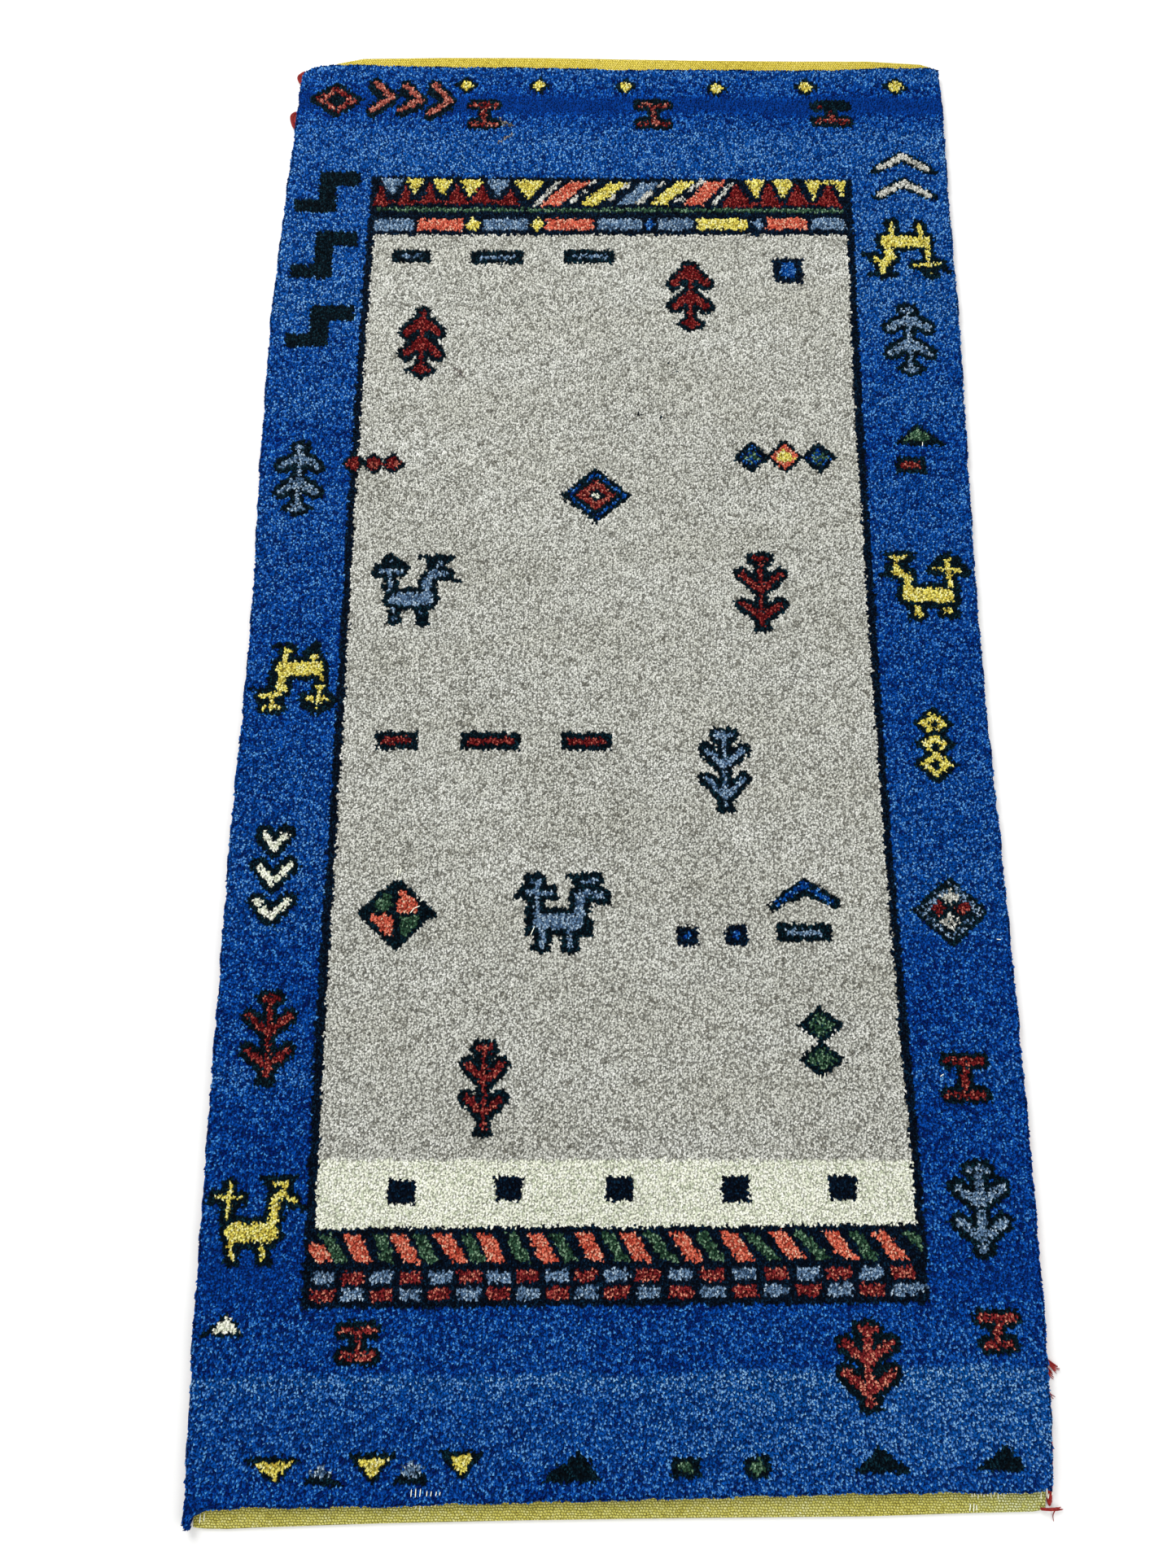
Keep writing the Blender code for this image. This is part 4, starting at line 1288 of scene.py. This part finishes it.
def smoothRoute(points, count):
    # a cubic through the points, with slopes from their neighbours
    points = np.array(points, dtype=float)
    at = np.linspace(0, len(points) - 1, count)
    slopes = np.gradient(points, axis=0)
    low = np.minimum(at.astype(int), len(points) - 2)
    t = (at - low)[:, None]
    return ((2 * t ** 3 - 3 * t ** 2 + 1) * points[low] + (t ** 3 - 2 * t ** 2 + t) * slopes[low]
            + (3 * t ** 2 - 2 * t ** 3) * points[low + 1] + (t ** 3 - t ** 2) * slopes[low + 1])


ply = {"thick": 0.0013, "thin": 0.00105, "tip": 0.00005, "around": 6, "steps": 26, "fewest": 6,
       "lowest": 0.0001}


def makeLooseYarn(name, side, strands, spread, points):
    # thin plies side by side, which part towards the free end; a loop's stay evenly apart
    isLoop = "loop" in name
    route = smoothRoute([(cordMiddle(np.array(y), side) + side * out, y, z) for out, y, z in points], 22)
    share = np.linspace(0, 1, len(route))
    apart = spread if isLoop else 0.0005 + spread * share
    places, faces, total = [], [], 0
    for n in range(strands):
        turn = 2 * math.pi * n / strands + share * (2 if isLoop else 4)
        offset = [np.cos(turn) * apart, np.sin(turn) * apart * 0.8, np.sin(turn * 2) * 0.0005]
        offset = np.column_stack(offset)
        if isLoop:
            reach = np.abs(route[:, 0] - route[0, 0])
            offset[:, 0] -= side * reach * 0.45 * n / strands
        shorten = 1.0 if isLoop else rng.uniform(0.7, 1.0)
        strand = smoothRoute((route + offset)[: max(6, int(len(route) * shorten))], ply["steps"])
        width = np.full(len(strand), ply["thick"] if strands >= ply["fewest"] else ply["thin"])
        if not isLoop:
            width = width * np.linspace(1.1, 0.5, len(strand))
        width[[0, -1]] = ply["tip"]
        part, partFaces, _ = tubeAround(strand, width, width, ply["around"])
        places.append(np.column_stack([part[:, :2], np.maximum(part[:, 2], ply["lowest"])]))
        faces.append(partFaces + total)
        total += len(part)
    shade = np.clip(rng.normal(0.32, 0.2, total), 0, 1)
    places, faces = np.concatenate(places), np.concatenate(faces)
    return newPiece(name, places, faces, redWool, wrapping["slot"], shade, 0.6, 1.0)


# Bare white warps where the pile or the weft is worn, and lint: x0, y0, x1 and y1 in steps, and
# the height of the middle
threads = (
    (-63.2, -255.4, -63.1, -253.2, 0.0118), (-61.9, -255.5, -61.8, -253.0, 0.0118),
    (-60.6, -255.4, -60.4, -253.1, 0.0118), (-58.6, -255.3, -58.5, -253.7, 0.0116),
    (-57.4, -255.3, -57.2, -253.8, 0.0116), (-55.9, -255.2, -55.7, -253.9, 0.0116),
    (-54.8, -255.0, -54.6, -254.0, 0.0116), (-62.0, -259.6, -61.9, -257.6, 0.0034),
    (-60.8, -260.2, -60.7, -257.4, 0.0034), (-59.7, -259.4, -59.6, -257.4, 0.0034),
    (-58.5, -258.8, -58.4, -257.2, 0.0034), (103.4, -260.8, 103.9, -258.6, 0.0036),
    (104.6, -261.0, 104.9, -258.4, 0.0036), (105.6, -260.6, 105.7, -258.8, 0.0034),
    (104.4, -257.0, 104.5, -255.6, 0.0036), (106.2, -257.4, 106.3, -255.8, 0.0036),
    (108.0, -257.0, 108.1, -255.4, 0.0036), (110.2, -257.2, 110.1, -255.6, 0.0036),
    (112.2, -257.6, 112.4, -255.4, 0.0036), (114.0, -257.0, 114.2, -255.6, 0.0036),
    (105.3, -256.8, 105.2, -255.6, 0.0036), (107.2, -256.6, 107.3, -255.4, 0.0036),
    (109.1, -256.7, 109.2, -255.5, 0.0036), (111.2, -256.6, 111.3, -255.2, 0.0036),
    (113.2, -256.5, 113.2, -255.3, 0.0036), (-63.4, -259.2, -63.3, -257.8, 0.0034),
    (-57.4, -259.0, -57.3, -257.6, 0.0034), (-56.2, -258.8, -56.1, -257.6, 0.0034),
    (-54.6, -258.6, -54.6, -257.5, 0.0034), (-125.6, -263.2, -125.5, -260.4, 0.0034),
    (-124.4, -262.6, -124.4, -260.2, 0.0034), (126.2, -256.4, 126.4, -253.4, 0.0100),
    (125.0, -257.4, 125.2, -255.4, 0.0050), (102.4, -134.4, 103.6, -133.6, 0.0119),
    (-30.2, -89.6, -28.8, -86.4, 0.0119), (62.0, -133.4, 61.8, -135.4, 0.0119),
    (63.8, -133.8, 63.6, -136.0, 0.0119), (65.2, -133.2, 65.1, -135.0, 0.0119),
    (-70.0, -82.4, -68.8, -80.8, 0.0119), (-68.8, -80.8, -66.8, -79.9, 0.0119),
    (-74.8, -70.2, -74.6, -67.6, 0.0119), (-73.8, -69.2, -73.6, -66.8, 0.0119),
    (-67.0, -78.6, -66.0, -77.8, 0.0119), (124.2, -90.1, 125.8, -90.3, 0.0119),
    (111.5, 90.8, 111.7, 92.6, 0.0119), (127.2, -257.4, 127.6, -255.8, 0.0046),
    (128.4, -256.4, 128.8, -254.6, 0.0050),
)


threadRings = {"share": (0.0, 0.2, 0.8, 1.0), "size": (0.1, 1.0, 0.9, 0.1), "radius": 0.0004, "around": 5}


def makeThreads():
    # each a short tube of a few rings, tapered at its ends, all computed at once
    rows = np.array(threads)
    start, stop, height = rows[:, :2] * knot, rows[:, 2:4] * knot, rows[:, 4]
    share, size = np.array(threadRings["share"]), np.array(threadRings["size"]) * threadRings["radius"]
    around = threadRings["around"]
    angle = np.arange(around) * 2 * math.pi / around
    middle = start[:, None, :] + share[None, :, None] * (stop - start)[:, None, :]
    ahead = (stop - start) / np.linalg.norm(stop - start, axis=1)[:, None]
    across = np.column_stack([ahead[:, 1], -ahead[:, 0]])
    sideways, upwards = (size[:, None] * turned[None, :] for turned in (np.cos(angle), np.sin(angle)))
    flat = middle[:, :, None, :] + across[:, None, None, :] * sideways[None, :, :, None]
    z = height[:, None, None] + upwards[None] + 0 * flat[..., 0]
    points = np.concatenate([flat, z[..., None]], axis=-1).reshape(-1, 3)
    ring, spot = np.meshgrid(np.arange(len(share) - 1), np.arange(around), indexing="ij")
    first, second = ring * around, (spot + 1) % around
    corners = (first + spot, first + around + spot, first + around + second, first + second)
    one = np.stack(corners, axis=-1).reshape(-1, 4)
    faces = (np.arange(len(rows))[:, None, None] * len(share) * around + one[None]).reshape(-1, 4)
    cotton = woolMaterial("white cotton", yarns["cream"], 0.6, 1400, 0.2)
    return newPiece("bare_warps", points, faces, cotton, yarns["cream"]["slot"], 0.4, 0.4, 1.0)


loose = [makeLooseYarn(*row) for row in looseYarns] + [makeThreads()]
print("edge cords and loose yarns made")
